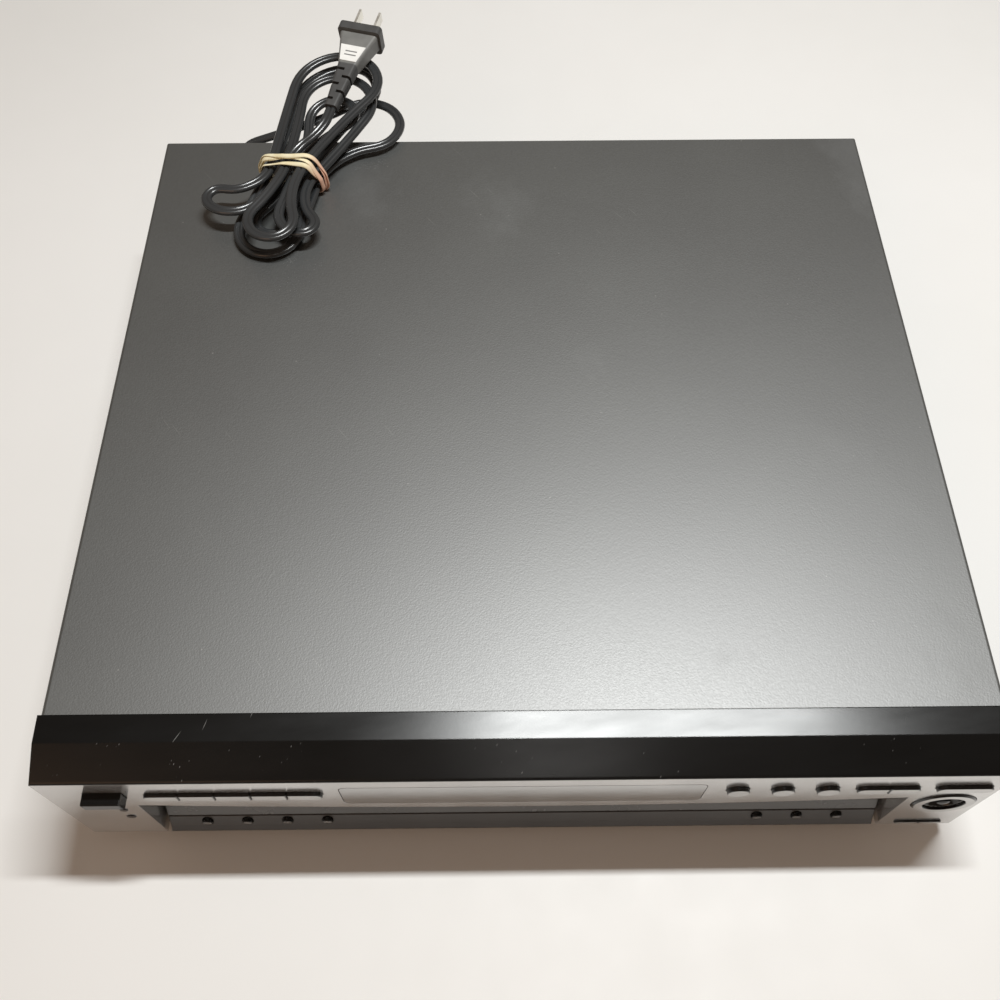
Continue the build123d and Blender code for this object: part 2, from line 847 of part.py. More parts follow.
# Bowl of the four-way control, rounded outside so that it can tilt in the ring
ball_radius = bowl_radius - bowl_gap
ball_depth = 3.0
rim_depth = 0.4
bowl_back = 6.0
arm_depth = 2.4
arm_back = 0.4
bowl_rim = 0.6
floor_step = 0.8
arm_start = 0.5
stick_hole = stick_radius + 1.6
rim_reach = sqrt(ball_radius**2 - (ball_depth - rim_depth) ** 2)
back_reach = sqrt(ball_radius**2 - (bowl_back - ball_depth) ** 2)
with BuildPart() as stick_bowl:
    with BuildSketch(upright(ring_x)):
        with BuildLine():
            ThreePointArc(
                (rim_depth, ring_height + rim_reach),
                (ball_depth, ring_height + ball_radius),
                (bowl_back, ring_height + back_reach),
            )
            Polyline(
                (bowl_back, ring_height + back_reach), (bowl_back, ring_height + stick_hole),
                (bowl_deep, ring_height + stick_hole),
                (bowl_deep - floor_step, ring_height + arm_reach - bowl_rim),
                (rim_depth, ring_height + rim_reach - bowl_rim), (rim_depth, ring_height + rim_reach),
            )
        make_face()
    revolve(axis=Axis(place(ring_x, 0, ring_height), (0, 1, 0)))
    with BuildSketch(face(arm_depth)):
        with Locations((ring_x, ring_height)):
            with PolarLocations((stick_hole + arm_start + arm_reach) / 2, 4, start_angle=45):
                Rectangle(arm_reach - stick_hole - arm_start, arm_width)
    extrude(amount=arm_depth - bowl_deep - arm_back)
stick_bowl.part.label = "stick_bowl"
export_step(stick_bowl.part, "parts/stick_bowl.step")

# Stick with a domed head, tilting crosswise in the bowl
neck_radius = 2.0
stick_end = 6.4
dome = (stick_radius**2 + stick_dome**2) / (2 * stick_dome)
dome_side = dome - stick_dome - sqrt(dome**2 - (stick_radius / 2) ** 2)
with BuildPart() as enter_stick:
    with BuildSketch(upright(ring_x)):
        with BuildLine():
            Polyline(
                (-stick_dome, ring_height), (stick_end, ring_height), (stick_end, ring_height + neck_radius),
                (stick_head, ring_height + neck_radius), (stick_head, ring_height + stick_radius),
                (0, ring_height + stick_radius),
            )
            ThreePointArc(
                (0, ring_height + stick_radius),
                (dome_side, ring_height + stick_radius / 2),
                (-stick_dome, ring_height),
            )
        make_face()
    revolve(axis=Axis(place(ring_x, 0, ring_height), (0, 1, 0)))
enter_stick.part.label = "enter_stick"
export_step(enter_stick.part, "parts/enter_stick.step")

# Control board behind the band with a leg in each block, its switches, the display tube,
# and the small switch strip behind the sill
board_depth = 11.4
board_low = band_end_height + 4.0
board_leg_low = 20.0
board_clear = 0.8
tube_side = 8.0
tube_low = 56.0
tube_high = 72.0
tube_thick = 5.5
strip_overhang = 6.0
strip_thick = 1.2
strip_top = 9.4
strip_switch = 1.0
switch_size = 6.0
switch_tall = 4.8
low_switch = low_height + 2.6
stem_end = wall + press_room + stem_length
sill_stem_end = sill_button_deep + press_room + stem_length
row_step = (disc_row_right - disc_row_left) / disc_buttons
switch_places = [(disc_row_left + (index + 0.5) * row_step, control_height) for index in range(disc_buttons)]
switch_places += [(x, control_height) for x in round_places]
switch_places += [(skip_left + skip_wide * share, control_height) for share in (0.25, 0.75)]
switch_places += [(open_middle, control_height)]
switch_places += [((power_left + power_right) / 2, (power_low + power_high) / 2)]
switch_places += [(low_left + low_wide * share, low_switch) for share in (0.25, 0.75)]
board_half = cabinet_width / 2 - wall - 1.5
leg_edge = block_edge + wall + 1.0
with BuildPart() as key_board:
    with BuildSketch(face(board_depth)):
        span(-board_half, board_half, board_low, face_height - wall - board_clear)
        span(-board_half, -leg_edge, board_leg_low, board_low + 1)
        span(leg_edge, board_half, wall + board_clear, board_low + 1)
    extrude(amount=-board_thick)
    with BuildSketch(face(stem_end + switch_gap)):
        with Locations(*switch_places):
            Rectangle(switch_size, switch_tall)
    extrude(amount=-(board_depth - stem_end - switch_gap))
    with BuildSketch(face(board_depth)):
        span(window_left + tube_side, window_right - tube_side, tube_low, tube_high)
    extrude(amount=tube_thick)
    with BuildSketch(face(sill_stem_end + switch_gap + strip_switch)):
        span(
            small_places[0] - strip_overhang, small_places[-1] + strip_overhang,
            wall + board_clear, strip_top,
        )
    extrude(amount=-strip_thick)
    with BuildSketch(face(sill_stem_end + switch_gap)):
        with Locations(*[(x, small_height) for x in small_places]):
            Rectangle(switch_size, switch_tall - 0.2)
    extrude(amount=-strip_switch)
key_board.part.label = "key_board"
export_step(key_board.part, "parts/key_board.step")

# Drawer front: a flared lower lip, an upright face and a top edge that follows the band
front_knee = 17.0
front_face = 8.1
lip_skin = 0.9
lip_slope = (front_face - sill_top_depth) / (front_knee - sill_top_height)
front_bottom = sill_top_height + lip_gap
with BuildPart() as drawer_front:
    with BuildSketch(upright(-front_half)):
        with BuildLine():
            Polyline(
                (sill_top_depth + lip_gap * lip_slope, front_bottom), (front_face, front_knee),
                (front_face, band_end_height), (tray_front, band_end_height),
                (tray_front, front_knee), (front_face + lip_skin, front_bottom),
                (sill_top_depth + lip_gap * lip_slope, front_bottom),
            )
        make_face()
    extrude(amount=2 * front_half)
    with BuildSketch(face()):
        with BuildLine():
            ThreePointArc(
                (-mouth_half, band_end_height - lip_gap),
                (0, band_end_height - band_sag - lip_gap),
                (mouth_half, band_end_height - lip_gap),
            )
            Polyline(
                (mouth_half, band_end_height - lip_gap), (mouth_half, cover_top),
                (-mouth_half, cover_top), (-mouth_half, band_end_height - lip_gap),
            )
        make_face()
    extrude(amount=-cap_depth, mode=Mode.SUBTRACT)
drawer_front.part.label = "drawer_front"
export_step(drawer_front.part, "parts/drawer_front.step")

# Moulded drawer tray: round pocket, open corners, post, runners, rack and the optical unit's bay
bay_room = 8.0
post_rise = 2.0
rest_radius = 3.5
turn_gap = 0.3
runner_start = 27.0
runner_stop = 3.0
bay_half = unit_half + bay_room
bay_front = unit_front - bay_room
rack_phase = loading_depth - rack_module * pi / 2
rack_first = rack_phase - rack_module * pi * 3
loading_x = rack_side + rack_module * loading_teeth / 2
ring_pitch = ring_module * ring_teeth / 2
table_pitch = ring_module * table_teeth / 2
table_x = (ring_pitch - table_pitch) * cos(radians(table_angle))
table_depth = platter_depth + (ring_pitch - table_pitch) * sin(radians(table_angle))
motor_can = 11.0
with BuildPart() as drawer_tray:
    with BuildSketch(level(tray_floor)):
        span(-tray_half, tray_half, tray_front, tray_back)
    extrude(amount=tray_rim - tray_floor)
    with BuildSketch(level(tray_floor - 1)):
        span(-tray_half + tray_skin, tray_half - tray_skin, tray_front + tray_skin, tray_back - tray_skin)
        with Locations((0, platter_depth)):
            Circle(pocket_radius + tray_skin, mode=Mode.SUBTRACT)
    extrude(amount=tray_rim - tray_floor + 1 - tray_skin, mode=Mode.SUBTRACT)
    with BuildSketch(level(tray_floor + tray_skin)):
        with Locations((0, platter_depth)):
            Circle(pocket_radius)
    extrude(amount=tray_rim, mode=Mode.SUBTRACT)
    with BuildSketch(level(tray_floor)):
        span(-bay_half, bay_half, bay_front, tray_back)
    extrude(amount=tray_rim, mode=Mode.SUBTRACT)
    with BuildSketch(level(tray_floor + tray_skin)):
        with Locations((0, platter_depth)):
            Circle(post_radius)
    extrude(amount=well_floor + post_rise - tray_floor - tray_skin)
    with BuildSketch(level(tray_floor + tray_skin)):
        with Locations((0, platter_depth)):
            with PolarLocations(ring_pitch + rest_radius, 4, start_angle=-150, angular_range=360):
                Circle(rest_radius)
    extrude(amount=well_floor - platter_skin - ring_tall - turn_gap - tray_floor - tray_skin)
    for edge in (-1, 1):
        with BuildSketch(level(runner_height)):
            span(
                *sorted((edge * tray_half, edge * (tray_half + runner_reach))),
                tray_front + runner_start, tray_back - runner_stop,
            )
        extrude(amount=runner_thick)
    with BuildSketch(level(tray_floor)):
        with BuildLine():
            Polyline(*rack_outline(rack_teeth, rack_module, rack_first, rack_side, rack_back), close=True)
        make_face()
    extrude(amount=-rack_tall)
drawer_tray.part.label = "drawer_tray"
export_step(drawer_tray.part, "parts/drawer_tray.step")

# Platter: five stepped wells with pickup slots, cored underside, hub and internal ring gear
under = well_floor - platter_skin
hub_low = tray_floor + tray_skin + turn_gap
hub_web = 4.0
post_cover = 2.2
ring_web = 5.0
ring_root = ring_pitch + 1.2 * ring_module
with BuildPart() as platter:
    with BuildSketch(level(under)):
        with Locations((0, platter_depth)):
            Circle(platter_radius)
    extrude(amount=platter_skin + well_depth)
    with BuildSketch(level(hub_low)):
        with Locations((0, platter_depth)):
            Circle(hub_radius)
    extrude(amount=under - hub_low)
    with BuildSketch(level(well_floor)):
        with Locations((0, platter_depth)):
            with PolarLocations(disc_circle, disc_count, start_angle=90):
                Circle(well_radius)
    extrude(amount=well_depth, mode=Mode.SUBTRACT)
    with BuildSketch(level(under)):
        with Locations((0, platter_depth)):
            with PolarLocations((slot_inner + disc_circle + slot_past) / 2, disc_count, start_angle=90):
                Rectangle(disc_circle + slot_past - slot_inner, pickup_slot)
    extrude(amount=platter_skin, mode=Mode.SUBTRACT)
    with BuildSketch(level(under)):
        with Locations((0, platter_depth)):
            Circle(ring_pitch - ring_web)
            with PolarLocations(disc_circle, disc_count, start_angle=90):
                Circle(well_radius + platter_skin, mode=Mode.SUBTRACT)
            Circle(hub_radius + hub_web, mode=Mode.SUBTRACT)
    extrude(amount=well_depth, mode=Mode.SUBTRACT)
    with BuildSketch(level(hub_low - 1)):
        with Locations((0, platter_depth)):
            Circle(post_radius + running_gap)
    extrude(amount=well_floor + post_cover - hub_low + 1, mode=Mode.SUBTRACT)
    with BuildSketch(level(under)):
        with Locations((0, platter_depth)):
            Circle(ring_root + ring_back - 1.0)
        with BuildLine():
            corner = []
            for tooth in range(ring_teeth):
                middle = radians(table_angle) + 2 * pi * (tooth + 0.5) / ring_teeth
                half = (pi / 2 - gear_slack / ring_module) / ring_teeth
                rise = ring_module * tan(radians(20)) / ring_pitch
                for radius, angle in (
                    (ring_root, -half - rise * 1.2), (ring_pitch - 0.8 * ring_module, -half + rise * 0.8),
                    (ring_pitch - 0.8 * ring_module, half - rise * 0.8), (ring_root, half + rise * 1.2),
                ):
                    corner.append(
                        (radius * cos(middle + angle), platter_depth + radius * sin(middle + angle))
                    )
            Polyline(*corner, close=True)
        make_face(mode=Mode.SUBTRACT)
    extrude(amount=-ring_tall)
platter.part.label = "platter"
export_step(platter.part, "parts/platter.step")

# Motor on the tray and the gear that drives the platter's ring
gear_low = under - ring_tall
can_below = 1.2
can_soften = 1.0
table_shaft = 1.5
with BuildPart() as table_motor:
    with BuildSketch(level(tray_floor + tray_skin)):
        with Locations((table_x, table_depth)):
            Circle(motor_can)
    extrude(amount=gear_low - can_below - tray_floor - tray_skin)
    chamfer(table_motor.faces().sort_by(Axis.Z)[-1].edges(), can_soften)
    with BuildSketch(level(gear_low - can_below)):
        with Locations((table_x, table_depth)):
            Circle(table_shaft)
    extrude(amount=ring_tall + can_below / 2)
table_motor.part.label = "table_motor"
export_step(table_motor.part, "parts/table_motor.step")
with BuildPart() as table_gear:
    with BuildSketch(level(gear_low)):
        with BuildLine():
            Polyline(
                *[
                    (table_x + x, table_depth + y)
                    for x, y in spur_outline(table_teeth, ring_module, table_angle)
                ],
                close=True,
            )
        make_face()
        with Locations((table_x, table_depth)):
            Circle(table_shaft + running_gap, mode=Mode.SUBTRACT)
    extrude(amount=ring_tall - turn_gap)
table_gear.part.label = "table_gear"
export_step(table_gear.part, "parts/table_gear.step")

# Loader frame: two rails with runner grooves, crossbars, axle pins, motor shelf and pivot ears
rail_top = 30.0
rail_inner = tray_half + 0.6
rail_front = cap_depth + 2.6
rail_back = rear_face - 4.6
groove = runner_reach + slide_gap
pulley_low = 5.8
pulley_tall = 3.6
pulley_rim = 0.9
pulley_clear = 3.0
shelf_low = 11.0
axle_radius = 2.0
pin_radius = 2.0
ear_gap = 1.0
ear_thick = 4.0
ear_foot = 8.0
ear_head = 5.0
ear_over = 4.0
frame_skin = 2.0
rail_bays = 6
rail_rib = 4.0
bay_length = (rail_back - rail_front - frame_skin) / rail_bays
back_bar = 10.0
shelf_half = 14.0
shelf_out = 13.0
motor_boss_hole = 4.0
axle_tall = 9.0
with BuildPart() as loader_frame:
    for edge in (-1, 1):
        with BuildSketch(level(deck)):
            span(*sorted((edge * rail_inner, edge * rail_half)), rail_front, rail_back)
        extrude(amount=rail_top - deck)
        with BuildSketch(level(runner_height - slide_gap)):
            span(*sorted((edge * rail_inner, edge * (tray_half + groove))), 0, rail_back)
        extrude(amount=runner_thick + 2 * slide_gap, mode=Mode.SUBTRACT)
        with BuildSketch(level(deck + frame_skin)):
            for bay in range(rail_bays):
                start = rail_front + rail_rib + bay * bay_length
                stop = rail_front + (bay + 1) * bay_length
                span(*sorted((edge * (tray_half + groove + frame_skin), edge * rail_half)), start, stop)
        extrude(amount=rail_top - deck - 2 * frame_skin, mode=Mode.SUBTRACT)
    with BuildSketch(level(deck)):
        span(-rail_inner, rail_inner, rail_front, loading_depth + pulley_radius + 2 * pulley_clear)
        span(-rail_inner, rail_inner, pivot_depth - back_bar, rail_back)
    extrude(amount=frame_skin)
    with BuildSketch(level(deck)):
        span(
            -rail_half - 1, -rail_inner,
            loading_depth - pulley_radius - pulley_clear, loading_depth + pulley_radius + pulley_clear,
        )
    extrude(amount=shelf_low - deck, mode=Mode.SUBTRACT)
    with BuildSketch(level(shelf_low)):
        span(motor_x - shelf_out, -rail_inner, loading_depth - shelf_half, loading_depth + shelf_half)
        with Locations((motor_x, loading_depth)):
            Circle(motor_boss_hole, mode=Mode.SUBTRACT)
    extrude(amount=frame_skin)
    with BuildSketch(level(deck + frame_skin)):
        with Locations((loading_x, loading_depth)):
            Circle(axle_radius)
    extrude(amount=axle_tall)
    for edge in (-1, 1):
        ear = edge * (unit_half + ear_gap + ear_thick / 2)
        with BuildSketch(upright(ear)):
            with BuildLine():
                Polyline(
                    (pivot_depth - ear_foot, deck), (pivot_depth + ear_foot, deck),
                    (pivot_depth + ear_head, pivot_height + ear_over),
                    (pivot_depth - ear_head, pivot_height + ear_over),
                    (pivot_depth - ear_foot, deck),
                )
            make_face()
            with Locations((pivot_depth, pivot_height)):
                Circle(pin_radius + running_gap, mode=Mode.SUBTRACT)
        extrude(amount=ear_thick / 2, both=True)
loader_frame.part.label = "loader_frame"
export_step(loader_frame.part, "parts/loader_frame.step")


def pulley_section(x, outer, groove_radius, bore):
    """Corners of half a grooved belt pulley beside its own axis."""
    high = pulley_low + pulley_tall
    return [
        (x + bore, pulley_low), (x + outer, pulley_low), (x + outer, pulley_low + pulley_rim),
        (x + groove_radius, pulley_low + pulley_rim), (x + groove_radius, high - pulley_rim),
        (x + outer, high - pulley_rim), (x + outer, high), (x + bore, high),
    ]


# Loading pinion with its belt pulley, the motor pulley, the motor and the belt
turned = Plane(origin=(0, front_y + loading_depth, foot_drop), x_dir=(1, 0, 0), z_dir=(0, -1, 0))
with BuildPart() as loading_gear:
    with BuildSketch(turned):
        with BuildLine():
            Polyline(
                *pulley_section(loading_x, pulley_radius, pulley_groove, axle_radius + running_gap),
                close=True,
            )
        make_face()
    revolve(axis=Axis(place(loading_x, loading_depth, 0), (0, 0, 1)))
    with BuildSketch(level(pulley_low + pulley_tall)):
        with BuildLine():
            Polyline(
                *[
                    (loading_x + x, loading_depth + y)
                    for x, y in spur_outline(loading_teeth, rack_module, 180)
                ],
                close=True,
            )
        make_face()
        with Locations((loading_x, loading_depth)):
            Circle(axle_radius + running_gap, mode=Mode.SUBTRACT)
    extrude(amount=tray_floor - 0.4 - pulley_low - pulley_tall)
loading_gear.part.label = "loading_gear"
export_step(loading_gear.part, "parts/loading_gear.step")
shaft_radius = 1.0
motor_bore = shaft_radius + running_gap
with BuildPart() as motor_pulley:
    with BuildSketch(turned):
        with BuildLine():
            Polyline(
                *pulley_section(motor_x, motor_pulley_radius, motor_pulley_groove, motor_bore),
                close=True,
            )
        make_face()
    revolve(axis=Axis(place(motor_x, loading_depth, 0), (0, 0, 1)))
motor_pulley.part.label = "motor_pulley"
export_step(motor_pulley.part, "parts/motor_pulley.step")
motor_radius = 11.5
motor_tall = 22.0
motor_soften = 1.2
motor_boss = 3.6
with BuildPart() as loading_motor:
    with BuildSketch(level(shelf_low + frame_skin)):
        with Locations((motor_x, loading_depth)):
            Circle(motor_radius)
    extrude(amount=motor_tall)
    chamfer(loading_motor.faces().sort_by(Axis.Z)[-1].edges(), motor_soften)
    with BuildSketch(level(pulley_low)):
        with Locations((motor_x, loading_depth)):
            Circle(shaft_radius)
    extrude(amount=shelf_low + frame_skin - pulley_low)
    with BuildSketch(level(shelf_low)):
        with Locations((motor_x, loading_depth)):
            Circle(motor_boss)
    extrude(amount=frame_skin)
loading_motor.part.label = "loading_motor"
export_step(loading_motor.part, "parts/loading_motor.step")
belt_low = pulley_low + (pulley_tall - belt_thick) / 2
with BuildPart() as loading_belt:
    with BuildSketch(level(belt_low)):
        with BuildSketch(mode=Mode.PRIVATE) as belt_outside:
            with Locations((loading_x, loading_depth)):
                Circle(pulley_groove + belt_lift + belt_thick)
            with Locations((motor_x, loading_depth)):
                Circle(motor_pulley_groove + belt_lift + belt_thick)
            make_hull()
        with BuildSketch(mode=Mode.PRIVATE) as belt_inside:
            with Locations((loading_x, loading_depth)):
                Circle(pulley_groove + belt_lift)
            with Locations((motor_x, loading_depth)):
                Circle(motor_pulley_groove + belt_lift)
            make_hull()
        add(belt_outside.sketch - belt_inside.sketch)
    extrude(amount=belt_thick)
loading_belt.part.label = "loading_belt"
export_step(loading_belt.part, "parts/loading_belt.step")

# Optical unit, drawn level and carried on planes tilted to its lowered pose
tilt_depth = Vector(0, cos(radians(unit_tilt)), sin(radians(unit_tilt)))
tilt_up = Vector(0, -sin(radians(unit_tilt)), cos(radians(unit_tilt)))
pivot = place(0, pivot_depth, pivot_height)


def unit(height):
    """Horizontal plane of the raised unit, turned down about its pivot: local x, depth."""
    origin = pivot - tilt_depth * pivot_depth + tilt_up * (height - pivot_height)
    return Plane(origin=origin, x_dir=(1, 0, 0), z_dir=tilt_up)


sled_travel = sled_pitches * pi * sled_module
sled_depth = spindle_depth - lens_start
sled_long = 22.0
sled_side = rod_x + 2.6
sled_top = 30.4
rod_height = 26.0
bay_gap = 1.5
window_front = sled_depth - sled_travel - sled_long / 2 - bay_gap
window_back = sled_depth + sled_long / 2 + bay_gap / 2
sled_rack_x = rod_x + 6.0
sled_gear_x = sled_rack_x + sled_module * sled_teeth / 2
sled_gear_depth = sled_depth - 6.0
sled_gear_low = deck_top + 0.3
flange_low = 22.4
ear_reach = ear_gap + ear_thick
spindle_can = 12.0
spindle_can_low = 16.0
base_past = 3.0
flange_start = 5.0
sled_room = 1.2
rod_seat = 3.0
gear_stub = 1.5
gear_stub_tall = 3.2
spindle_hole = 3.0
with BuildPart() as optical_base:
    with BuildSketch(unit(deck_top - deck_skin)):
        span(-unit_half, unit_half, unit_front, pivot_depth + base_past)
    extrude(amount=deck_skin)
    with BuildSketch(unit(deck_top - deck_skin)):
        span(-sled_side - sled_room, sled_side + sled_room, window_front, window_back)
    extrude(amount=deck_skin, mode=Mode.SUBTRACT)
    with BuildSketch(unit(flange_low)):
        span(-unit_half, -unit_half + deck_skin, unit_front + flange_start, pivot_depth + base_past)
        span(unit_half - deck_skin, unit_half, unit_front + flange_start, pivot_depth + base_past)
    extrude(amount=deck_top - flange_low)
    for side in (-1, 1):
        start = unit(rod_height).from_local_coords((side * rod_x, window_front - rod_seat, 0))
        with BuildSketch(Plane(origin=start, x_dir=(1, 0, 0), z_dir=tilt_depth)):
            Circle(rod_radius)
        extrude(amount=window_back - window_front + 2 * rod_seat)
        pin = unit(pivot_height).from_local_coords((side * (unit_half - deck_skin), pivot_depth, 0))
        with BuildSketch(Plane(origin=pin, x_dir=tilt_depth, z_dir=(side, 0, 0))):
            Circle(pin_radius)
        extrude(amount=deck_skin + ear_reach + 1)
    with BuildSketch(unit(deck_top)):
        with Locations((sled_gear_x, sled_gear_depth)):
            Circle(gear_stub)
    extrude(amount=gear_stub_tall)
    with BuildSketch(unit(deck_top - deck_skin)):
        with Locations((0, spindle_depth)):
            Circle(spindle_hole)
    extrude(amount=deck_skin, mode=Mode.SUBTRACT)
optical_base.part.label = "optical_base"
export_step(optical_base.part, "parts/optical_base.step")
spindle_soften = 0.8
spindle_shaft = 1.0
spindle_rise = 7.0
with BuildPart() as spindle_motor:
    with BuildSketch(unit(spindle_can_low)):
        with Locations((0, spindle_depth)):
            Circle(spindle_can)
    extrude(amount=deck_top - deck_skin - spindle_can_low)
    chamfer(spindle_motor.faces().sort_by(Axis.Z)[0].edges(), spindle_soften)
    with BuildSketch(unit(deck_top - deck_skin)):
        with Locations((0, spindle_depth)):
            Circle(spindle_shaft)
    extrude(amount=spindle_rise)
spindle_motor.part.label = "spindle_motor"
export_step(spindle_motor.part, "parts/spindle_motor.step")
turntable_low = 31.2
nose_rise = 1.8
collar_radius = 4.0
collar_tall = 2.0
bore_deep = 4.5
with BuildPart() as turntable:
    with BuildSketch(unit(turntable_low)):
        with Locations((0, spindle_depth)):
            Circle(turntable_radius)
    extrude(amount=turntable_top - turntable_low)
    with BuildSketch(unit(turntable_low - collar_tall)):
        with Locations((0, spindle_depth)):
            Circle(collar_radius)
    extrude(amount=collar_tall)
    with BuildSketch(unit(turntable_top)):
        with Locations((0, spindle_depth)):
            Circle(nose_radius)
    extrude(amount=nose_rise, taper=25)
    with BuildSketch(unit(turntable_low - collar_tall)):
        with Locations((0, spindle_depth)):
            Circle(spindle_shaft + running_gap)
    extrude(amount=bore_deep, mode=Mode.SUBTRACT)
turntable.part.label = "turntable"
export_step(turntable.part, "parts/turntable.step")

# Pickup sled on its two rods, with the lens and a side rack, and the gear that drives the rack
lens_radius = 3.6
rack_high = 2.6
sled_rack_back = 3.2
lens_rise = 0.8
sled_gear_tall = 2.4
with BuildPart() as pickup_sled:
    with BuildSketch(unit(sled_low)):
        span(-sled_side, sled_side, sled_depth - sled_long / 2, sled_depth + sled_long / 2)
    extrude(amount=sled_top - sled_low)
    with BuildSketch(unit(sled_gear_low)):
        span(sled_side - 1, sled_rack_x - 2.0, sled_depth - sled_long / 2, sled_depth + sled_long / 2)
        with BuildLine():
            Polyline(
                *rack_outline(
                    sled_rack_teeth, sled_module, sled_gear_depth - 1.5 * pi * sled_module,
                    sled_rack_x, sled_rack_back, sled_slack,
                ),
                close=True,
            )
        make_face()
    extrude(amount=rack_high)
    with BuildSketch(unit(sled_top)):
        with Locations((0, sled_depth)):
            Circle(lens_radius)
    extrude(amount=lens_rise)
    for side in (-1, 1):
        start = unit(rod_height).from_local_coords((side * rod_x, sled_depth - sled_long, 0))
        with BuildSketch(Plane(origin=start, x_dir=(1, 0, 0), z_dir=tilt_depth)):
            Circle(rod_radius + running_gap)
        extrude(amount=2 * sled_long, mode=Mode.SUBTRACT)
pickup_sled.part.label = "pickup_sled"
export_step(pickup_sled.part, "parts/pickup_sled.step")
with BuildPart() as sled_gear:
    with BuildSketch(unit(sled_gear_low)):
        with BuildLine():
            Polyline(
                *[
                    (sled_gear_x + x, sled_gear_depth + y)
                    for x, y in spur_outline(sled_teeth, sled_module, sled_gear_turn, sled_slack)
                ],
                close=True,
            )
        make_face()
        with Locations((sled_gear_x, sled_gear_depth)):
            Circle(gear_stub + running_gap, mode=Mode.SUBTRACT)
    extrude(amount=sled_gear_tall)
sled_gear.part.label = "sled_gear"
export_step(sled_gear.part, "parts/sled_gear.step")

# Bridge over the platter: a bent plate on the rails with standoffs for the boards
bridge_leg = 2.0
bridge_half = rail_half - 1.0
bridge_back = block_front - 1.0
bridge_skin = 1.2
bridge_slot_x = 105.0
bridge_slot_length = 110.0
bridge_slot_wide = 38.0
clamp_hole = 12.0
standoff_radius = 3.0
standoff_far = bridge_half - 8.0
standoff_front = bridge_front + 18.0
power_standoff_front = bridge_front + 34.0
standoff_back = bridge_back - 8.0
power_standoff_right = -72.0
main_standoff_left = -30.0
standoffs = [
    (x, depth)
    for x in (-standoff_far, power_standoff_right)
    for depth in (power_standoff_front, standoff_back)
]
standoffs += [
    (x, depth) for x in (main_standoff_left, standoff_far) for depth in (standoff_front, standoff_back)
]
bridge_middle = (bridge_front + bridge_back) / 2
with BuildPart() as mechanism_bridge:
    with BuildSketch(level(bridge_height)):
        span(-bridge_half, bridge_half, bridge_front, bridge_back)
        with Locations((0, spindle_depth)):
            Circle(clamp_hole, mode=Mode.SUBTRACT)
        with Locations((-bridge_slot_x, bridge_middle), (bridge_slot_x, bridge_middle)):
            SlotOverall(bridge_slot_length, bridge_slot_wide, rotation=90, mode=Mode.SUBTRACT)
    extrude(amount=bridge_skin)
    with BuildSketch(level(rail_top)):
        span(-bridge_half, -bridge_half + bridge_leg, bridge_front, bridge_back)
        span(bridge_half - bridge_leg, bridge_half, bridge_front, bridge_back)
    extrude(amount=bridge_height - rail_top)
    with BuildSketch(level(bridge_height + bridge_skin)):
        with Locations(*standoffs):
            Circle(standoff_radius)
    extrude(amount=board_height - bridge_height - bridge_skin)
mechanism_bridge.part.label = "mechanism_bridge"
export_step(mechanism_bridge.part, "parts/mechanism_bridge.step")

# Clamper hanging in the bridge by its flange
clamp_neck = 11.0
clamp_pad = 41.0
clamp_flange = 17.0
clamp_top = 48.0
clamp_rest = 46.0
clamp_dish = 1.0
with BuildPart() as clamper:
    for low, high, radius in (
        (clamper_low, clamp_pad, clamper_radius), (clamp_pad, clamp_rest, clamp_neck),
        (clamp_rest, clamp_top, clamp_flange),
    ):
        with BuildSketch(level(low)):
            with Locations((0, spindle_depth)):
                Circle(radius)
        extrude(amount=high - low)
    with BuildSketch(level(clamper_low)):
        with Locations((0, spindle_depth)):
            Circle(nose_radius + clamp_dish)
    extrude(amount=clamp_dish, mode=Mode.SUBTRACT)
clamper.part.label = "clamper"
export_step(clamper.part, "parts/clamper.step")

# Main board with its chips and connectors, and the power board with its transformer
board_right = inner_half - 12.6
main_left = -40.0
main_front = bridge_front + 7.0
power_left_edge = -board_right
power_right_edge = -60.0
power_front = bridge_front + 22.0
power_back = rear_face - 9.6
board_top = board_height + board_thick
parts_depth = (main_front + block_front) / 2
chip_places = [(60, parts_depth - 18), (120, parts_depth - 8), (20, parts_depth - 28)]
chip_side = 24.0
chip_tall = 3.0
memory_places = [(board_right - 30, parts_depth - 38), (board_right - 30, parts_depth + 22)]
memory_wide = 10.0
memory_long = 30.0
capacitor_places = [(-20, parts_depth + 22), (0, parts_depth + 37), (150, parts_depth + 42)]
capacitor_radius = 5.0
capacitor_tall = 12.0
ribbon_places = [(x, main_front + 8) for x in (40, 100, 150)]
ribbon_wide = 30.0
ribbon_thick = 6.0
with BuildPart() as main_board:
    with BuildSketch(level(board_height)):
        span(main_left, board_right, main_front, block_front)
    extrude(amount=board_thick)
    # Three chips and two memory blocks
    with BuildSketch(level(board_top)):
        with Locations(*chip_places):
            Rectangle(chip_side, chip_side)
        with Locations(*memory_places):
            Rectangle(memory_wide, memory_long)
    extrude(amount=chip_tall)
    # Capacitors
    with BuildSketch(level(board_top)):
        with Locations(*capacitor_places):
            Circle(capacitor_radius)
    extrude(amount=capacitor_tall)
    # Ribbon connectors along the front edge
    with BuildSketch(level(board_top)):
        with Locations(*ribbon_places):
            Rectangle(ribbon_wide, ribbon_thick)
    extrude(amount=ribbon_thick)
main_board.part.label = "main_board"
export_step(main_board.part, "parts/main_board.step")
transformer_x = power_left_edge + 35.0
transformer_depth = power_back - 55.0
core_wide = 40.0
core_long = 54.0
core_tall = 26.0
coil_step = 4.0
coil_in = 6.0
reservoir_places = [(-110, power_front + 50), (-88, power_front + 50), (-110, power_front + 90)]
reservoir_radius = 8.0
reservoir_tall = 24.0
mains_places = [(power_right_edge - 30, power_back - 20), (power_left_edge + 50, power_front + 15)]
mains_wide = 24.0
mains_tall = 10.0
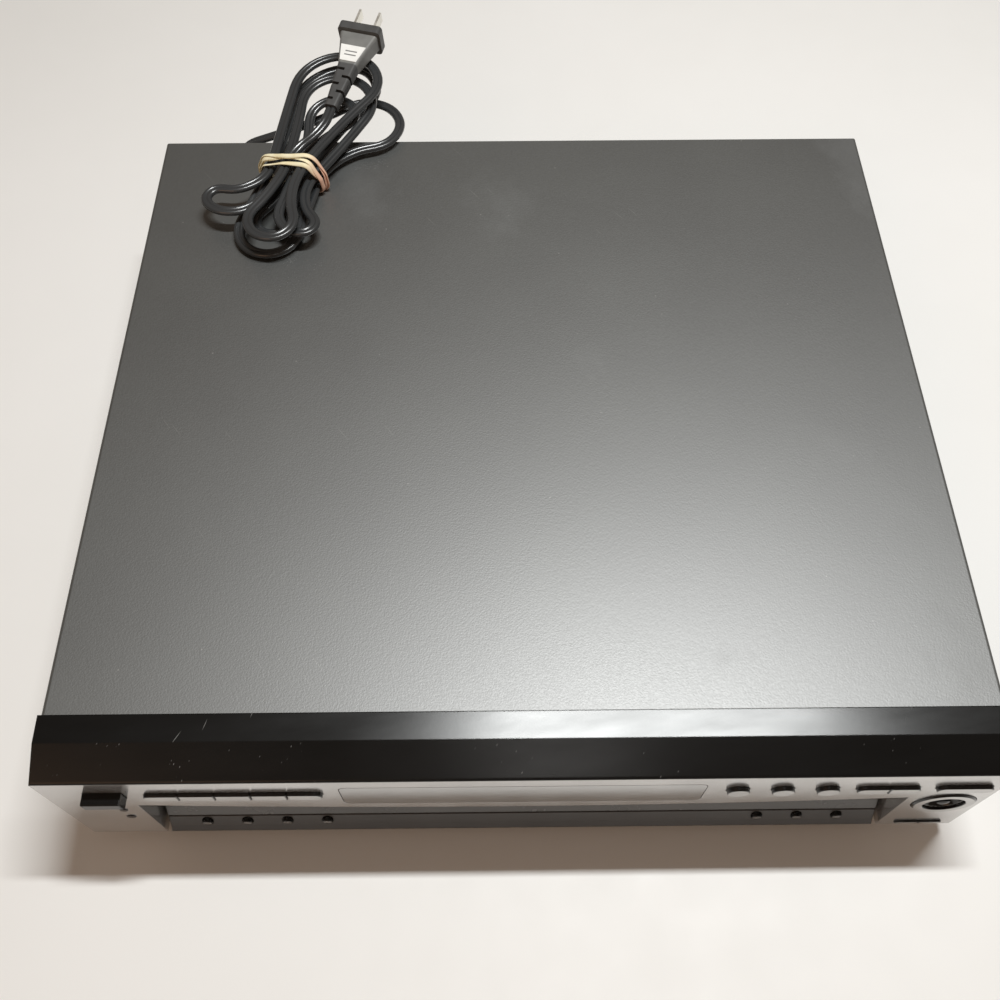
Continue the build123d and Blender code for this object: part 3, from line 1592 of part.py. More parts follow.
with BuildPart() as power_board:
    with BuildSketch(level(board_height)):
        span(power_left_edge, power_right_edge, power_front, power_back)
    extrude(amount=board_thick)
    with BuildSketch(level(board_top)):
        with Locations((transformer_x, transformer_depth)):
            Rectangle(core_wide, core_long)
    extrude(amount=core_tall)
    with BuildSketch(level(board_top + coil_step)):
        with Locations((transformer_x, transformer_depth)):
            Rectangle(core_long, core_wide - coil_in)
    extrude(amount=core_tall - 2 * coil_step)
    # Reservoir capacitors, the mains socket and the fuse holder
    with BuildSketch(level(board_top)):
        with Locations(*reservoir_places):
            Circle(reservoir_radius)
    extrude(amount=reservoir_tall)
    with BuildSketch(level(board_top)):
        with Locations(*mains_places):
            Rectangle(mains_wide, mains_tall)
    extrude(amount=mains_tall)
power_board.part.label = "power_board"
export_step(power_board.part, "parts/power_board.step")

# Socket block behind the rear panel: ring sockets, a square optical socket and a round one
jack_shell = rear_face - chassis_sheet
block_left = round_socket_x - 10.0
block_right = jack_x + (jack_columns - 1) * jack_pitch + 9.0
block_rim = 8.0
socket_proud = 1.0
shutter_depth = 1.0
shutter_margin = 2.5
pin_circle = 4.4
pin_post = 1.0
bore_past = 4.0
with BuildPart() as jack_block:
    with BuildSketch(face(jack_shell)):
        span(block_left, block_right, jack_low - block_rim, jack_low + jack_rise + block_rim)
    extrude(amount=jack_shell - block_front)
    with BuildSketch(face(jack_shell)):
        with Locations(*jack_places):
            Circle(jack_radius)
    extrude(amount=-(cabinet_depth + jack_reach - jack_shell))
    with BuildSketch(face(jack_shell)):
        with Locations((optical_x, jack_middle)):
            Rectangle(optical_wide - 2 * socket_clear, optical_tall - 2 * socket_clear)
        with Locations((round_socket_x, jack_middle)):
            Circle(round_socket - socket_clear)
    extrude(amount=-(cabinet_depth + socket_proud - jack_shell))
    with BuildSketch(face(cabinet_depth + jack_reach)):
        with Locations(*jack_places):
            Circle(jack_bore)
    extrude(amount=jack_reach + bore_past, mode=Mode.SUBTRACT)
    with BuildSketch(face(cabinet_depth + socket_proud)):
        with Locations((optical_x, jack_middle)):
            Rectangle(optical_wide - 2 * shutter_margin, optical_tall - 2 * shutter_margin)
        with Locations((round_socket_x, jack_middle)):
            Circle(pin_circle)
            Circle(pin_post, mode=Mode.SUBTRACT)
    extrude(amount=shutter_depth, mode=Mode.SUBTRACT)
jack_block.part.label = "jack_block"
export_step(jack_block.part, "parts/jack_block.step")

# Strain relief of the mains lead, clipped in the rear panel and ribbed outside
relief_end = rear_face + relief_length
relief_tip = 3.4
relief_inner = 1.8
relief_outer = 2.4
relief_first = relief_neck + 0.6
relief_ribs = 5
rib_pitch = (relief_length - 5) / relief_ribs
rib_gap = 0.4 * rib_pitch
rib_deep = 1.1
rib_taper = 0.3
with BuildPart() as strain_relief:
    with BuildSketch(level(exit_height)):
        with BuildLine():
            outline = [
                (exit_x, jack_shell - relief_inner), (exit_x + relief_flange, jack_shell - relief_inner),
                (exit_x + relief_flange, jack_shell), (exit_x + relief_neck, jack_shell),
                (exit_x + relief_neck, rear_face), (exit_x + relief_flange, rear_face),
                (exit_x + relief_flange, rear_face + relief_outer),
            ]
            for rib in range(relief_ribs):
                depth = rear_face + relief_outer + rib * rib_pitch
                size = relief_first - (relief_first - relief_tip) * rib / relief_ribs
                outline += [
                    (exit_x + size - rib_deep, depth), (exit_x + size - rib_deep, depth + rib_gap),
                    (exit_x + size, depth + rib_gap), (exit_x + size - rib_taper, depth + rib_pitch),
                ]
            outline += [(exit_x + relief_tip, relief_end), (exit_x, relief_end)]
            Polyline(*outline, close=True)
        make_face()
    revolve(axis=Axis(place(exit_x, 0, exit_height), (0, 1, 0)))
strain_relief.part.label = "strain_relief"
export_step(strain_relief.part, "parts/strain_relief.step")

# Hank of the lead: upper and lower loops in turn, tied at the waist. Each station is its reach
# along the hank, its side, its layer and its heading in degrees clockwise from the hank's line
along_hank = Vector(sin(radians(hank_lean)), cos(radians(hank_lean)), 0)
across_hank = Vector(along_hank.Y, -along_hank.X, 0)
hank_start = (44, -25, -1.1, 76)
hank_climb = 0.36
hank_end = (36.5, 12.5, 3.3, 2)
plug_climb = 0.15
upper_loops = [
    (70, 43.5, -0.05, 139), (93.5, 7.5, 1.65, 77), (63, 12, 1.65, 98),
    (80.5, 11, 2.05, 276), (93, 11, 3.1, 95),
]
lower_loops = [
    (-58.5, -1, -0.3, 274), (-43, -1.5, -0.3, 273), (-45.5, 20, 1.1, 88),
    (-38.5, -36, 1.4, 302), (-58, 5.5, 2, 270),
]
falling = [(0, 15, 0, 178), (0, 5.5, 0, 184), (0, 3, 1.15, 179), (0, -4.5, 1.15, 175), (0, 10, 2.4, 192)]
rising = [(0, -14.5, 0.6, 0), (0, -1, 0, 7), (0, 14.5, 1.05, 17), (0, -11.5, 1.6, 351), (0, -1.5, 2.1, -1)]


def hank_point(reach, side, layer):
    """Point of the lead from its reach along the hank, its side and its layer."""
    middle = place(hank_x, hank_depth, hank_rise + layer_step * layer)
    return middle + along_hank * reach + across_hank * side


def hank_heading(angle, climb=0.0):
    """Heading of the lead, clockwise from the hank's line, with a climb."""
    turned_to = along_hank * cos(radians(angle)) + across_hank * sin(radians(angle))
    return (turned_to + Vector(0, 0, climb)).normalized()


def biarc_joint(start, heading, end, finish):
    """Where two tangent arcs between two directed points meet, and their shared heading."""
    chord = end - start
    along = chord.dot(heading + finish)
    spread = 2 * (1 - heading.dot(finish))
    reach = chord.dot(chord) / (along + sqrt(along**2 + spread * chord.dot(chord)))
    joint = (start + end + (heading - finish) * reach) * 0.5
    return joint, (end - finish * reach - start - heading * reach).normalized()


stations = [hank_start]
for turn in range(len(upper_loops)):
    stations += [upper_loops[turn], falling[turn], lower_loops[turn], rising[turn]]
stations.append(hank_end)
hank_points = [hank_point(*station[:3]) for station in stations]
hank_headings = [hank_heading(station[3]) for station in stations]
hank_headings[0] = hank_heading(hank_start[3], hank_climb)
hank_headings[-1] = hank_heading(hank_end[3], plug_climb)
lead_in = hank_points[0] - hank_headings[0] * end_straight
lead_out = hank_points[-1] + hank_headings[-1] * end_straight
with BuildPart() as cord_hank:
    with BuildLine() as hank_path:
        Line(lead_in, hank_points[0])
        for index in range(len(hank_points) - 1):
            start, end = hank_points[index], hank_points[index + 1]
            joint, shared = biarc_joint(start, hank_headings[index], end, hank_headings[index + 1])
            TangentArc(start, joint, tangent=hank_headings[index])
            TangentArc(joint, end, tangent=shared)
        Line(hank_points[-1], lead_out)
    with BuildSketch(Plane(origin=lead_in, x_dir=(0, 0, 1), z_dir=hank_headings[0])):
        RegularPolygon(cord_size / 2, cord_sides)
    sweep()
cord_hank.part.label = "cord_hank"
export_step(cord_hank.part, "parts/cord_hank.step")

# Least gap of the hank to itself, over points more than three diameters apart along it
hank_wire = hank_path.wire()
hank_length = hank_wire.length
sample_count = 700
samples = [hank_wire.position_at(number / sample_count) for number in range(sample_count + 1)]
apart = int(3.2 * cord_size * sample_count / hank_length) + 1
least = min(
    (samples[first] - samples[second]).length
    for first in range(sample_count + 1)
    for second in range(first + apart, sample_count + 1)
)
print(f"hank length {hank_length:.0f}, least gap to itself {least - cord_size:.2f}")

# Free stretch from the strain relief up behind the cabinet to the hank
last_run = 21.2
run_points = [
    place(exit_x, relief_end, exit_height), place(-190, 442, 30), place(-177, 453, 34),
    place(-162, 450, 42), place(-158, 436, 53), place(-175, 416, 63),
    lead_in - hank_headings[0] * last_run, lead_in,
]
run_radii = []
for before, corner, after in zip(run_points, run_points[1:], run_points[2:]):
    first_run, second_run = corner - before, after - corner
    half_turn = radians(first_run.get_angle(second_run)) / 2
    run_radii.append(0.45 * min(first_run.length, second_run.length) / tan(half_turn))
print("lead radii", [round(radius, 1) for radius in run_radii])
with BuildPart() as cord_run:
    with BuildLine() as run_path:
        FilletPolyline(*run_points, radius=run_radii)
    with BuildSketch(Plane(origin=run_points[0], x_dir=(0, 0, 1), z_dir=(0, 1, 0))) as lead_section:
        RegularPolygon(cord_size / 2, cord_sides)
    sweep()
run_length = run_path.wire().length
section = lead_section.sketch.area
print(f"run length {run_length:.0f}, volume {cord_run.part.volume:.0f} against {section * run_length:.0f}")
print(f"hank volume {cord_hank.part.volume:.0f} against {section * hank_length:.0f}")
cord_run.part.label = "cord_run"
export_step(cord_run.part, "parts/cord_run.step")

# Rubber band stretched round the strands at the waist
band_low = place(hank_x, hank_depth, 0) - along_hank * band_wide / 2
band_plane = Plane(origin=band_low, x_dir=across_hank, z_dir=-along_hank)
waist = [(station[1], hank_rise + layer_step * station[2]) for station in falling + rising]
with BuildPart() as rubber_band:
    with BuildSketch(band_plane):
        with BuildSketch(mode=Mode.PRIVATE) as band_outside:
            with Locations(*waist):
                Circle(cord_size / 2 + band_gap + band_thick)
            make_hull()
        with BuildSketch(mode=Mode.PRIVATE) as band_inside:
            with Locations(*waist):
                Circle(cord_size / 2 + band_gap)
            make_hull()
        add(band_outside.sketch - band_inside.sketch)
    extrude(amount=-band_wide)
rubber_band.part.label = "rubber_band"
export_step(rubber_band.part, "parts/rubber_band.step")

# Two-pole plug: slotted relief, flared body and flange plate, with its blades
plug_axis = hank_headings[-1]
plug_side = Vector(plug_axis.Y, -plug_axis.X, 0).normalized()
slot_count = 5
slot_first = 4.0
slot_step = 5.6
slot_deep = 4.6
slot_wide = 1.9
plug_tip = (7.6, 6.6)
plug_neck = (12.0, 9.0)
plug_shoulder = (24.0, 12.0)
plug_plate = (27.0, 17.0)
plug_round = 2.0
plate_round = 2.5
plug_relief = 32.0
plug_body = 55.0
plug_flange = 61.0
blade_length = 16.0
blade_pitch = 12.7
blade_thick = 1.5
blade_wide = 6.35
blade_soften = 0.5


def plug_at(distance):
    """Plane across the plug's axis: local x to its right, y up."""
    return Plane(origin=lead_out + plug_axis * distance, x_dir=plug_side, z_dir=plug_axis)


with BuildPart() as cord_plug:
    with BuildSketch(plug_at(0)):
        RectangleRounded(*plug_tip, plug_round)
    with BuildSketch(plug_at(plug_relief)):
        RectangleRounded(*plug_neck, plug_round)
    loft()
    for index in range(slot_count):
        side = 1 if index % 2 else -1
        with BuildSketch(plug_at(slot_first + index * slot_step)):
            with Locations((side * slot_deep, 0)):
                Rectangle(2 * slot_deep, plug_neck[0])
        extrude(amount=slot_wide, mode=Mode.SUBTRACT)
    with BuildSketch(plug_at(plug_relief)):
        RectangleRounded(*plug_neck, plug_round)
    with BuildSketch(plug_at(plug_body)):
        RectangleRounded(*plug_shoulder, plug_round)
    loft()
    with BuildSketch(plug_at(plug_body)):
        RectangleRounded(*plug_plate, plate_round)
    extrude(amount=plug_flange - plug_body)
    fillet(cord_plug.faces().sort_by(Axis(lead_out, plug_axis))[-1].edges(), 1.0)
cord_plug.part.label = "cord_plug"
export_step(cord_plug.part, "parts/cord_plug.step")
with BuildPart() as plug_blades:
    with BuildSketch(plug_at(plug_flange)):
        with Locations((-blade_pitch / 2, 0), (blade_pitch / 2, 0)):
            Rectangle(blade_thick, blade_wide)
    extrude(amount=blade_length)
    chamfer(plug_blades.faces().sort_by(Axis(lead_out, plug_axis))[-2:].edges(), blade_soften)
plug_blades.part.label = "plug_blades"
export_step(plug_blades.part, "parts/plug_blades.step")
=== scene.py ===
import json
from math import cos, pi, radians, sin, sqrt

import bpy
from mathutils import Matrix, Vector


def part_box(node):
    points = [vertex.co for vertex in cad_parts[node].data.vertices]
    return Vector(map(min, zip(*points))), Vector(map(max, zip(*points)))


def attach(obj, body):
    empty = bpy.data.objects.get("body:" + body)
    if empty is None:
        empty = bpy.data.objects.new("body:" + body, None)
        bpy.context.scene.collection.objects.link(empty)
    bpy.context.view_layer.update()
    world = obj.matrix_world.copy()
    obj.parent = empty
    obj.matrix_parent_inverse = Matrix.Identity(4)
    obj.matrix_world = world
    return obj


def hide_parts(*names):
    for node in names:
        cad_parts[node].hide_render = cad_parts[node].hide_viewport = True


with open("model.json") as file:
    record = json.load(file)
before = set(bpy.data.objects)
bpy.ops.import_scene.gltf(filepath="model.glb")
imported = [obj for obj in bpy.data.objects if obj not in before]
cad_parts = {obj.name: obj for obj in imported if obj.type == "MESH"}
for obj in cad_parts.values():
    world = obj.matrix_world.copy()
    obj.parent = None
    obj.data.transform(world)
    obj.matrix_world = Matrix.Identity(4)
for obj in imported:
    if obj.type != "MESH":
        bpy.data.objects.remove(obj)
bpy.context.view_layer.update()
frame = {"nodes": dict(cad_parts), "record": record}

# The looks of a five-disc carousel changer with its mains lead tied in a hank on the cover.
# Metres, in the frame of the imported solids: x to the right, y to the back, z up, floor at z 0.

nodes = frame["nodes"]
scene = bpy.context.scene
panel_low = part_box("front_panel")[0]
front_y = panel_low.y
base_z = panel_low.z


def place(x, depth, height):
    """A point by its x, its depth behind the front face and its height above the fascia's lower edge."""
    return Vector((x, front_y + depth, base_z + height))


# Camera at the photograph's angle
camera_place = Vector((-0.01207, -0.3228, 0.5457))
camera_pitch = 59.52
camera_yaw = 0.5
camera_roll = -0.08
camera_lens = 37.49
camera_sensor = 36.0
camera_clip = 0.01
camera_data = bpy.data.cameras.new("camera")
camera_data.lens = camera_lens
camera_data.sensor_width = camera_sensor
camera_data.clip_start = camera_clip
camera = bpy.data.objects.new("camera", camera_data)
scene.collection.objects.link(camera)
turned = Matrix.Rotation(radians(-camera_yaw), 4, "Z") @ Matrix.Rotation(radians(90 - camera_pitch), 4, "X")
rolled = Matrix.Rotation(radians(camera_roll), 4, "Z")
camera.matrix_world = Matrix.Translation(camera_place) @ turned @ rolled
scene.camera = camera
scene.view_settings.view_transform = "Standard"


def link_object(name, data):
    """A new object for this mesh or curve."""
    made = bpy.data.objects.new(name, data)
    scene.collection.objects.link(made)
    return made


def mesh_object(name, points, faces, smooth=True):
    """A new mesh piece from its points and faces."""
    mesh = bpy.data.meshes.new(name)
    mesh.from_pydata([tuple(p) for p in points], [], faces)
    mesh.validate()
    for polygon in mesh.polygons:
        polygon.use_smooth = smooth
    return link_object(name, mesh)


# Mains lead: a flat twin lead from the strain relief up behind the cabinet, into a hank on the cover
lead_width = 0.0062
lead_thick = 0.0034
lobe_points = 9
lobe_opening = 118
groove_share = 0.5
exit_point = place(-0.190, 0.4246, 0.030)
hank_x = -0.131
hank_depth = 0.357
hank_lean = 14.3
hank_rise = 0.097
layer_step = 0.006
end_straight = 0.006
# Each station: its reach along the hank, its side, its layer and its heading in degrees
hank_start = (0.044, -0.025, -1.1, 76)
hank_climb = 0.36
hank_end = (0.0365, 0.0125, 3.3, 2)
plug_climb = 0.15
upper_loops = [
    (0.070, 0.0435, -0.05, 139), (0.0935, 0.0075, 1.65, 77), (0.063, 0.012, 1.65, 98),
    (0.0805, 0.011, 2.05, 276), (0.093, 0.011, 3.1, 95),
]
lower_loops = [
    (-0.0585, -0.001, -0.3, 274), (-0.043, -0.0015, -0.3, 273), (-0.0455, 0.020, 1.1, 88),
    (-0.0385, -0.036, 1.4, 302), (-0.058, 0.0055, 2, 270),
]
falling = [
    (0, 0.015, 0, 178), (0, 0.0055, 0, 184), (0, 0.003, 1.15, 179), (0, -0.0045, 1.15, 175),
    (0, 0.010, 2.4, 192),
]
rising = [
    (0, -0.0145, 0.6, 0), (0, -0.001, 0, 7), (0, 0.0145, 1.05, 17), (0, -0.0115, 1.6, 351),
    (0, -0.0015, 2.1, -1),
]
along_hank = Vector((sin(radians(hank_lean)), cos(radians(hank_lean)), 0))
across_hank = Vector((along_hank.y, -along_hank.x, 0))
hank_middle = place(hank_x, hank_depth, hank_rise)


def hank_point(reach, side, layer):
    """A point of the hank by its reach along it, its side and its layer."""
    return hank_middle + along_hank * reach + across_hank * side + Vector((0, 0, layer_step * layer))


def hank_heading(angle, climb=0.0):
    """Direction at an angle clockwise from the hank's line."""
    flat = along_hank * cos(radians(angle)) + across_hank * sin(radians(angle))
    return (flat + Vector((0, 0, climb))).normalized()


least_turn = 0.01
arc_controls = 2


def biarc_joint(start, heading, end, finish):
    """Where two tangent arcs between two directed points meet, and their shared heading."""
    chord = end - start
    along = chord.dot(heading + finish)
    spread = 2 * (1 - heading.dot(finish))
    reach = chord.dot(chord) / (along + sqrt(along**2 + spread * chord.dot(chord)))
    joint = (start + end + (heading - finish) * reach) * 0.5
    return joint, (end - finish * reach - start - heading * reach).normalized()


def round_controls(start, heading, end, count):
    """Control points, one for each equal share of the arc that leaves start along heading for end."""
    chord = end - start
    half_turn = heading.angle(chord)
    if half_turn < least_turn:
        return [start + chord * (index + 0.5) / count for index in range(count)]
    axis = heading.cross(chord).normalized()
    radius = chord.length / (2 * sin(half_turn))
    centre = start + axis.cross(heading) * radius
    step = 2 * half_turn / count
    return [
        centre + Matrix.Rotation(step * (index + 0.5), 3, axis) @ (start - centre) / cos(step / 2)
        for index in range(count)
    ]


def hank_controls():
    """The hank's first point and heading, the controls of its loops in turn, its last point and heading."""
    stations = [hank_start]
    for turn in range(len(upper_loops)):
        stations += [upper_loops[turn], falling[turn], lower_loops[turn], rising[turn]]
    stations.append(hank_end)
    points = [hank_point(*station[:3]) for station in stations]
    headings = [hank_heading(station[3]) for station in stations]
    headings[0] = hank_heading(hank_start[3], hank_climb)
    headings[-1] = hank_heading(hank_end[3], plug_climb)
    controls = []
    for index in range(len(points) - 1):
        joint, shared = biarc_joint(points[index], headings[index], points[index + 1], headings[index + 1])
        controls += round_controls(points[index], headings[index], joint, arc_controls)
        controls += round_controls(joint, shared, points[index + 1], arc_controls)
    return points[0] - headings[0] * end_straight, headings[0], controls, points[-1], headings[-1]


lead_in, lead_in_heading, loop_controls, hank_last, plug_axis = hank_controls()
lead_out = hank_last + plug_axis * end_straight
lead_in_straight = 0.0212
free_stretch = [
    exit_point, place(-0.190, 0.442, 0.030), place(-0.177, 0.453, 0.034), place(-0.162, 0.450, 0.042),
    place(-0.158, 0.436, 0.053), place(-0.175, 0.416, 0.063), lead_in - lead_in_heading * lead_in_straight,
    lead_in,
]


def lead_section():
    """Closed outline of the twin lead: two round lobes with a groove between them."""
    lobe = lead_thick / 2
    offset = lead_width / 2 - lobe
    outline = []
    for side in (1, -1):
        for step in range(lobe_points):
            angle = radians(lobe_opening * (2 * step / (lobe_points - 1) - 1))
            outline.append((side * (offset + lobe * cos(angle)), side * lobe * sin(angle)))
        outline.append((0.0, side * lobe * groove_share))
    return outline


def closed_outline(name, outline):
    """A closed flat curve, hidden, for a lead's section."""
    curve = bpy.data.curves.new(name, "CURVE")
    curve.dimensions = "2D"
    curve.fill_mode = "NONE"
    spline = curve.splines.new("POLY")
    spline.points.add(len(outline) - 1)
    for point, (x, y) in zip(spline.points, outline):
        point.co = (x, y, 0, 1)
    spline.use_cyclic_u = True
    made = link_object(name, curve)
    made.hide_render = True
    made.hide_viewport = True
    return made


def lead_curve():
    """The whole lead as one smooth spline from the strain relief to the plug."""
    curve = bpy.data.curves.new("mains_lead", "CURVE")
    curve.dimensions = "3D"
    curve.twist_mode = "Z_UP"
    curve.resolution_u = 6
    curve.bevel_mode = "OBJECT"
    curve.bevel_object = closed_outline("lead_section", lead_section())
    curve.use_fill_caps = True
    controls = free_stretch + loop_controls + [hank_last, lead_out]
    spline = curve.splines.new("NURBS")
    spline.points.add(len(controls) - 1)
    for point, control in zip(spline.points, controls):
        point.co = (*control, 1)
    spline.order_u = 3
    spline.use_endpoint_u = True
    spline.use_smooth = True
    return link_object("mains_lead", curve)


# Materials: every one is built from noise over the object's own place, in metres
noise_low, noise_high = 0.3, 0.7
tone_scale = 26.0
gloss_scale = 60.0
moulding_grain = 1500.0
moulding_depth = 0.000006
bevel_samples = 4
scratch_core, scratch_edge = 0.03, 0.08
scratch_patches, patch_fade = 11.0, 0.06
rarity_fade = 0.02


def colour4(rgb, gain=1.0):
    """A colour with full alpha, made lighter or darker by the gain."""
    return (*(min(1.0, c * gain) for c in rgb), 1.0)


class Paint:
    """One material and the small helpers that build its nodes."""

    def __init__(self, name, **shader_values):
        self.material = bpy.data.materials.new(name)
        self.material.use_nodes = True
        self.tree = self.material.node_tree
        self.shader = self.tree.nodes["Principled BSDF"]
        self.place = self.node("ShaderNodeTexCoord").outputs["Object"]
        for key, value in shader_values.items():
            self.shader.inputs[key.replace("_", " ")].default_value = value

    def node(self, kind, **inputs):
        """A new node, with each input set to a value or linked to a socket."""
        made = self.tree.nodes.new(kind)
        for key, value in inputs.items():
            socket = made.inputs[key.replace("_", " ")]
            if isinstance(value, bpy.types.NodeSocket):
                self.tree.links.new(value, socket)
            else:
                socket.default_value = value
        return made

    def link(self, output, socket):
        """Feed one of the shader's own sockets."""
        self.tree.links.new(output, self.shader.inputs[socket])

    def stretched(self, scale=(1, 1, 1), turn=(0, 0, 0)):
        """The object's place, turned and then scaled."""
        made = self.node("ShaderNodeMapping", Vector=self.place)
        made.vector_type = "TEXTURE"
        made.inputs["Scale"].default_value = [1 / share for share in scale]
        made.inputs["Rotation"].default_value = [radians(a) for a in turn]
        return made.outputs["Vector"]

    def noise(self, scale, detail=3.0, roughness=0.5, where=None):
        """Fractal noise over the object's place, or over another one."""
        made = self.node("ShaderNodeTexNoise", Vector=where or self.place, Scale=scale, Detail=detail)
        made.inputs["Roughness"].default_value = roughness
        return made.outputs["Fac"]

    def spread(self, value, low, high, to_low=0.0, to_high=1.0):
        """A value's range from low to high mapped to another range and held there."""
        made = self.node(
            "ShaderNodeMapRange", Value=value, From_Min=low, From_Max=high, To_Min=to_low, To_Max=to_high
        )
        made.clamp = True
        return made.outputs["Result"]

    def uneven(self, scale, detail=3.0, to_low=0.0, to_high=1.0):
        """The middle of a noise's range, mapped to another."""
        return self.spread(self.noise(scale, detail), noise_low, noise_high, to_low, to_high)

    def along(self, direction, origin):
        """How far the place lies past the origin in a direction."""
        reach = self.node("ShaderNodeVectorMath", Vector=self.place)
        reach.operation = "DOT_PRODUCT"
        reach.inputs[1].default_value = direction
        return self.math("SUBTRACT", reach.outputs["Value"], origin.dot(direction))

    def math(self, kind, first, second):
        """Two numbers or sockets put together."""
        made = self.tree.nodes.new("ShaderNodeMath")
        made.operation = kind
        for socket, value in zip(made.inputs, (first, second)):
            if isinstance(value, bpy.types.NodeSocket):
                self.tree.links.new(value, socket)
            else:
                socket.default_value = value
        return made.outputs["Value"]

    def mix(self, share, first, second):
        """Colour between two colours or sockets by a share."""
        made = self.tree.nodes.new("ShaderNodeMix")
        made.data_type = "RGBA"
        self.tree.links.new(share, made.inputs["Factor"])
        sockets = [s for s in made.inputs if s.type == "RGBA"]
        for socket, value in zip(sockets, (first, second)):
            if isinstance(value, bpy.types.NodeSocket):
                self.tree.links.new(value, socket)
            else:
                socket.default_value = value
        return [s for s in made.outputs if s.type == "RGBA"][0]

    def bump(self, height, depth, edge=0.0):
        """Fine relief, over corners rounded to the edge radius."""
        made = self.node("ShaderNodeBump", Height=height, Distance=depth)
        if edge:
            rounded = self.node("ShaderNodeBevel", Radius=edge)
            rounded.samples = bevel_samples
            self.tree.links.new(rounded.outputs["Normal"], made.inputs["Normal"])
        return made.outputs["Normal"]

    def scratches(self, scale, length, turn, patch):
        """Mask of thin separate strokes that show only where a broad noise passes patch."""
        strokes = self.stretched((length, 1, 1), (0, 0, turn))
        cells = self.node("ShaderNodeTexVoronoi", Vector=strokes, Scale=scale)
        stroke = self.spread(cells.outputs["Distance"], scratch_core, scratch_edge, 1.0, 0.0)
        where = self.spread(self.noise(scratch_patches, 2.0), patch, patch + patch_fade)
        return self.math("MULTIPLY", stroke, where)

    def specks(self, scale, size, rarity):
        """Mask of scattered small specks."""
        cells = self.node("ShaderNodeTexVoronoi", Vector=self.place, Scale=scale)
        dot = self.spread(cells.outputs["Distance"], 0.0, size, 1.0, 0.0)
        chosen = self.node("ShaderNodeSeparateColor", Color=cells.outputs["Color"]).outputs["Red"]
        return self.math("MULTIPLY", dot, self.spread(chosen, rarity, rarity + rarity_fade))


def moulded(name, rgb, rough, grain=900.0, depth=0.00002, mottle=0.12, edge=0.0, **values):
    """Moulded surface: fine grain, slight unevenness of tone and gloss, corners rounded to edge."""
    paint = Paint(name, **values)
    tone = paint.uneven(tone_scale, 4.0)
    fine = paint.noise(grain, 2.0)
    paint.link(paint.mix(tone, colour4(rgb, 1 - mottle), colour4(rgb, 1 + mottle)), "Base Color")
    worn = paint.noise(gloss_scale, 5.0, 0.6)
    paint.link(paint.spread(worn, 0.25, 0.75, rough * 0.88, rough * 1.12), "Roughness")
    paint.link(paint.bump(fine, depth, edge), "Normal")
    return paint.material


# The sill under the drawer, where shade is painted: its top and half its length, with the widths over which
# the painted shade fades
sill_top = 0.0095
sill_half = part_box("drawer_front")[1].x + 0.0005
sill_fade = 0.0006
sill_end_fade = 0.0004
fascia_metal = 0.75


def fascia_finish(name, rgb, sill_shade_rgb):
    """Satin metallic moulding, with painted shade along the sill under the drawer: darker, matter and without
    metal there.
    """
    paint = Paint(name, IOR=1.5)
    parts = paint.node("ShaderNodeSeparateXYZ", Vector=paint.place).outputs
    top = base_z + sill_top
    low = paint.spread(parts["Z"], top, top + sill_fade, 1.0, 0.0)
    aside = paint.math("ABSOLUTE", parts["X"], 0.0)
    inside = paint.spread(aside, sill_half, sill_half + sill_end_fade, 1.0, 0.0)
    tone = paint.uneven(tone_scale, 4.0)
    wide = paint.mix(tone, colour4(rgb, 0.9), colour4(rgb, 1.1))
    # Painted shade: the sill strip takes a much darker colour than the rest of the fascia
    strip = paint.mix(tone, colour4(sill_shade_rgb, 0.9), colour4(sill_shade_rgb, 1.1))
    sill_shade_mask = paint.math("MULTIPLY", low, inside)
    paint.link(paint.mix(sill_shade_mask, wide, strip), "Base Color")
    gloss = paint.spread(paint.noise(gloss_scale, 5.0, 0.6), 0.25, 0.75, 0.17, 0.23)
    paint.link(paint.math("ADD", gloss, paint.math("MULTIPLY", sill_shade_mask, 0.15)), "Roughness")
    paint.link(paint.spread(sill_shade_mask, 0.0, 1.0, fascia_metal, 0.0), "Metallic")
    paint.link(paint.bump(paint.noise(moulding_grain, 2.0), moulding_depth, 0.0006), "Normal")
    return paint.material


# How straight to the front a surface looks where it turns from a key's side into its face
facing_low, facing_high = 0.80, 0.95
key_metal = 0.6


def two_tone(name, face_rgb, side_rgb, rough, edge):
    """Moulded key: a silver face towards the front and dark sides."""
    paint = Paint(name, IOR=1.6)
    normal = paint.node("ShaderNodeTexCoord").outputs["Normal"]
    frontwards = paint.math("MULTIPLY", paint.node("ShaderNodeSeparateXYZ", Vector=normal).outputs["Y"], -1.0)
    face_share = paint.spread(frontwards, facing_low, facing_high)
    tone = paint.uneven(60.0, 4.0)
    face_tone = paint.mix(tone, colour4(face_rgb, 0.9), colour4(face_rgb, 1.1))
    side_tone = paint.mix(tone, colour4(side_rgb, 0.8), colour4(side_rgb, 1.2))
    paint.link(paint.mix(face_share, side_tone, face_tone), "Base Color")
    paint.link(paint.spread(face_share, 0.0, 1.0, 0.0, key_metal), "Metallic")
    paint.link(paint.uneven(90.0, 4.0, rough * 0.85, rough * 1.15), "Roughness")
    paint.link(paint.bump(paint.noise(moulding_grain, 2.0), moulding_depth, edge), "Normal")
    return paint.material


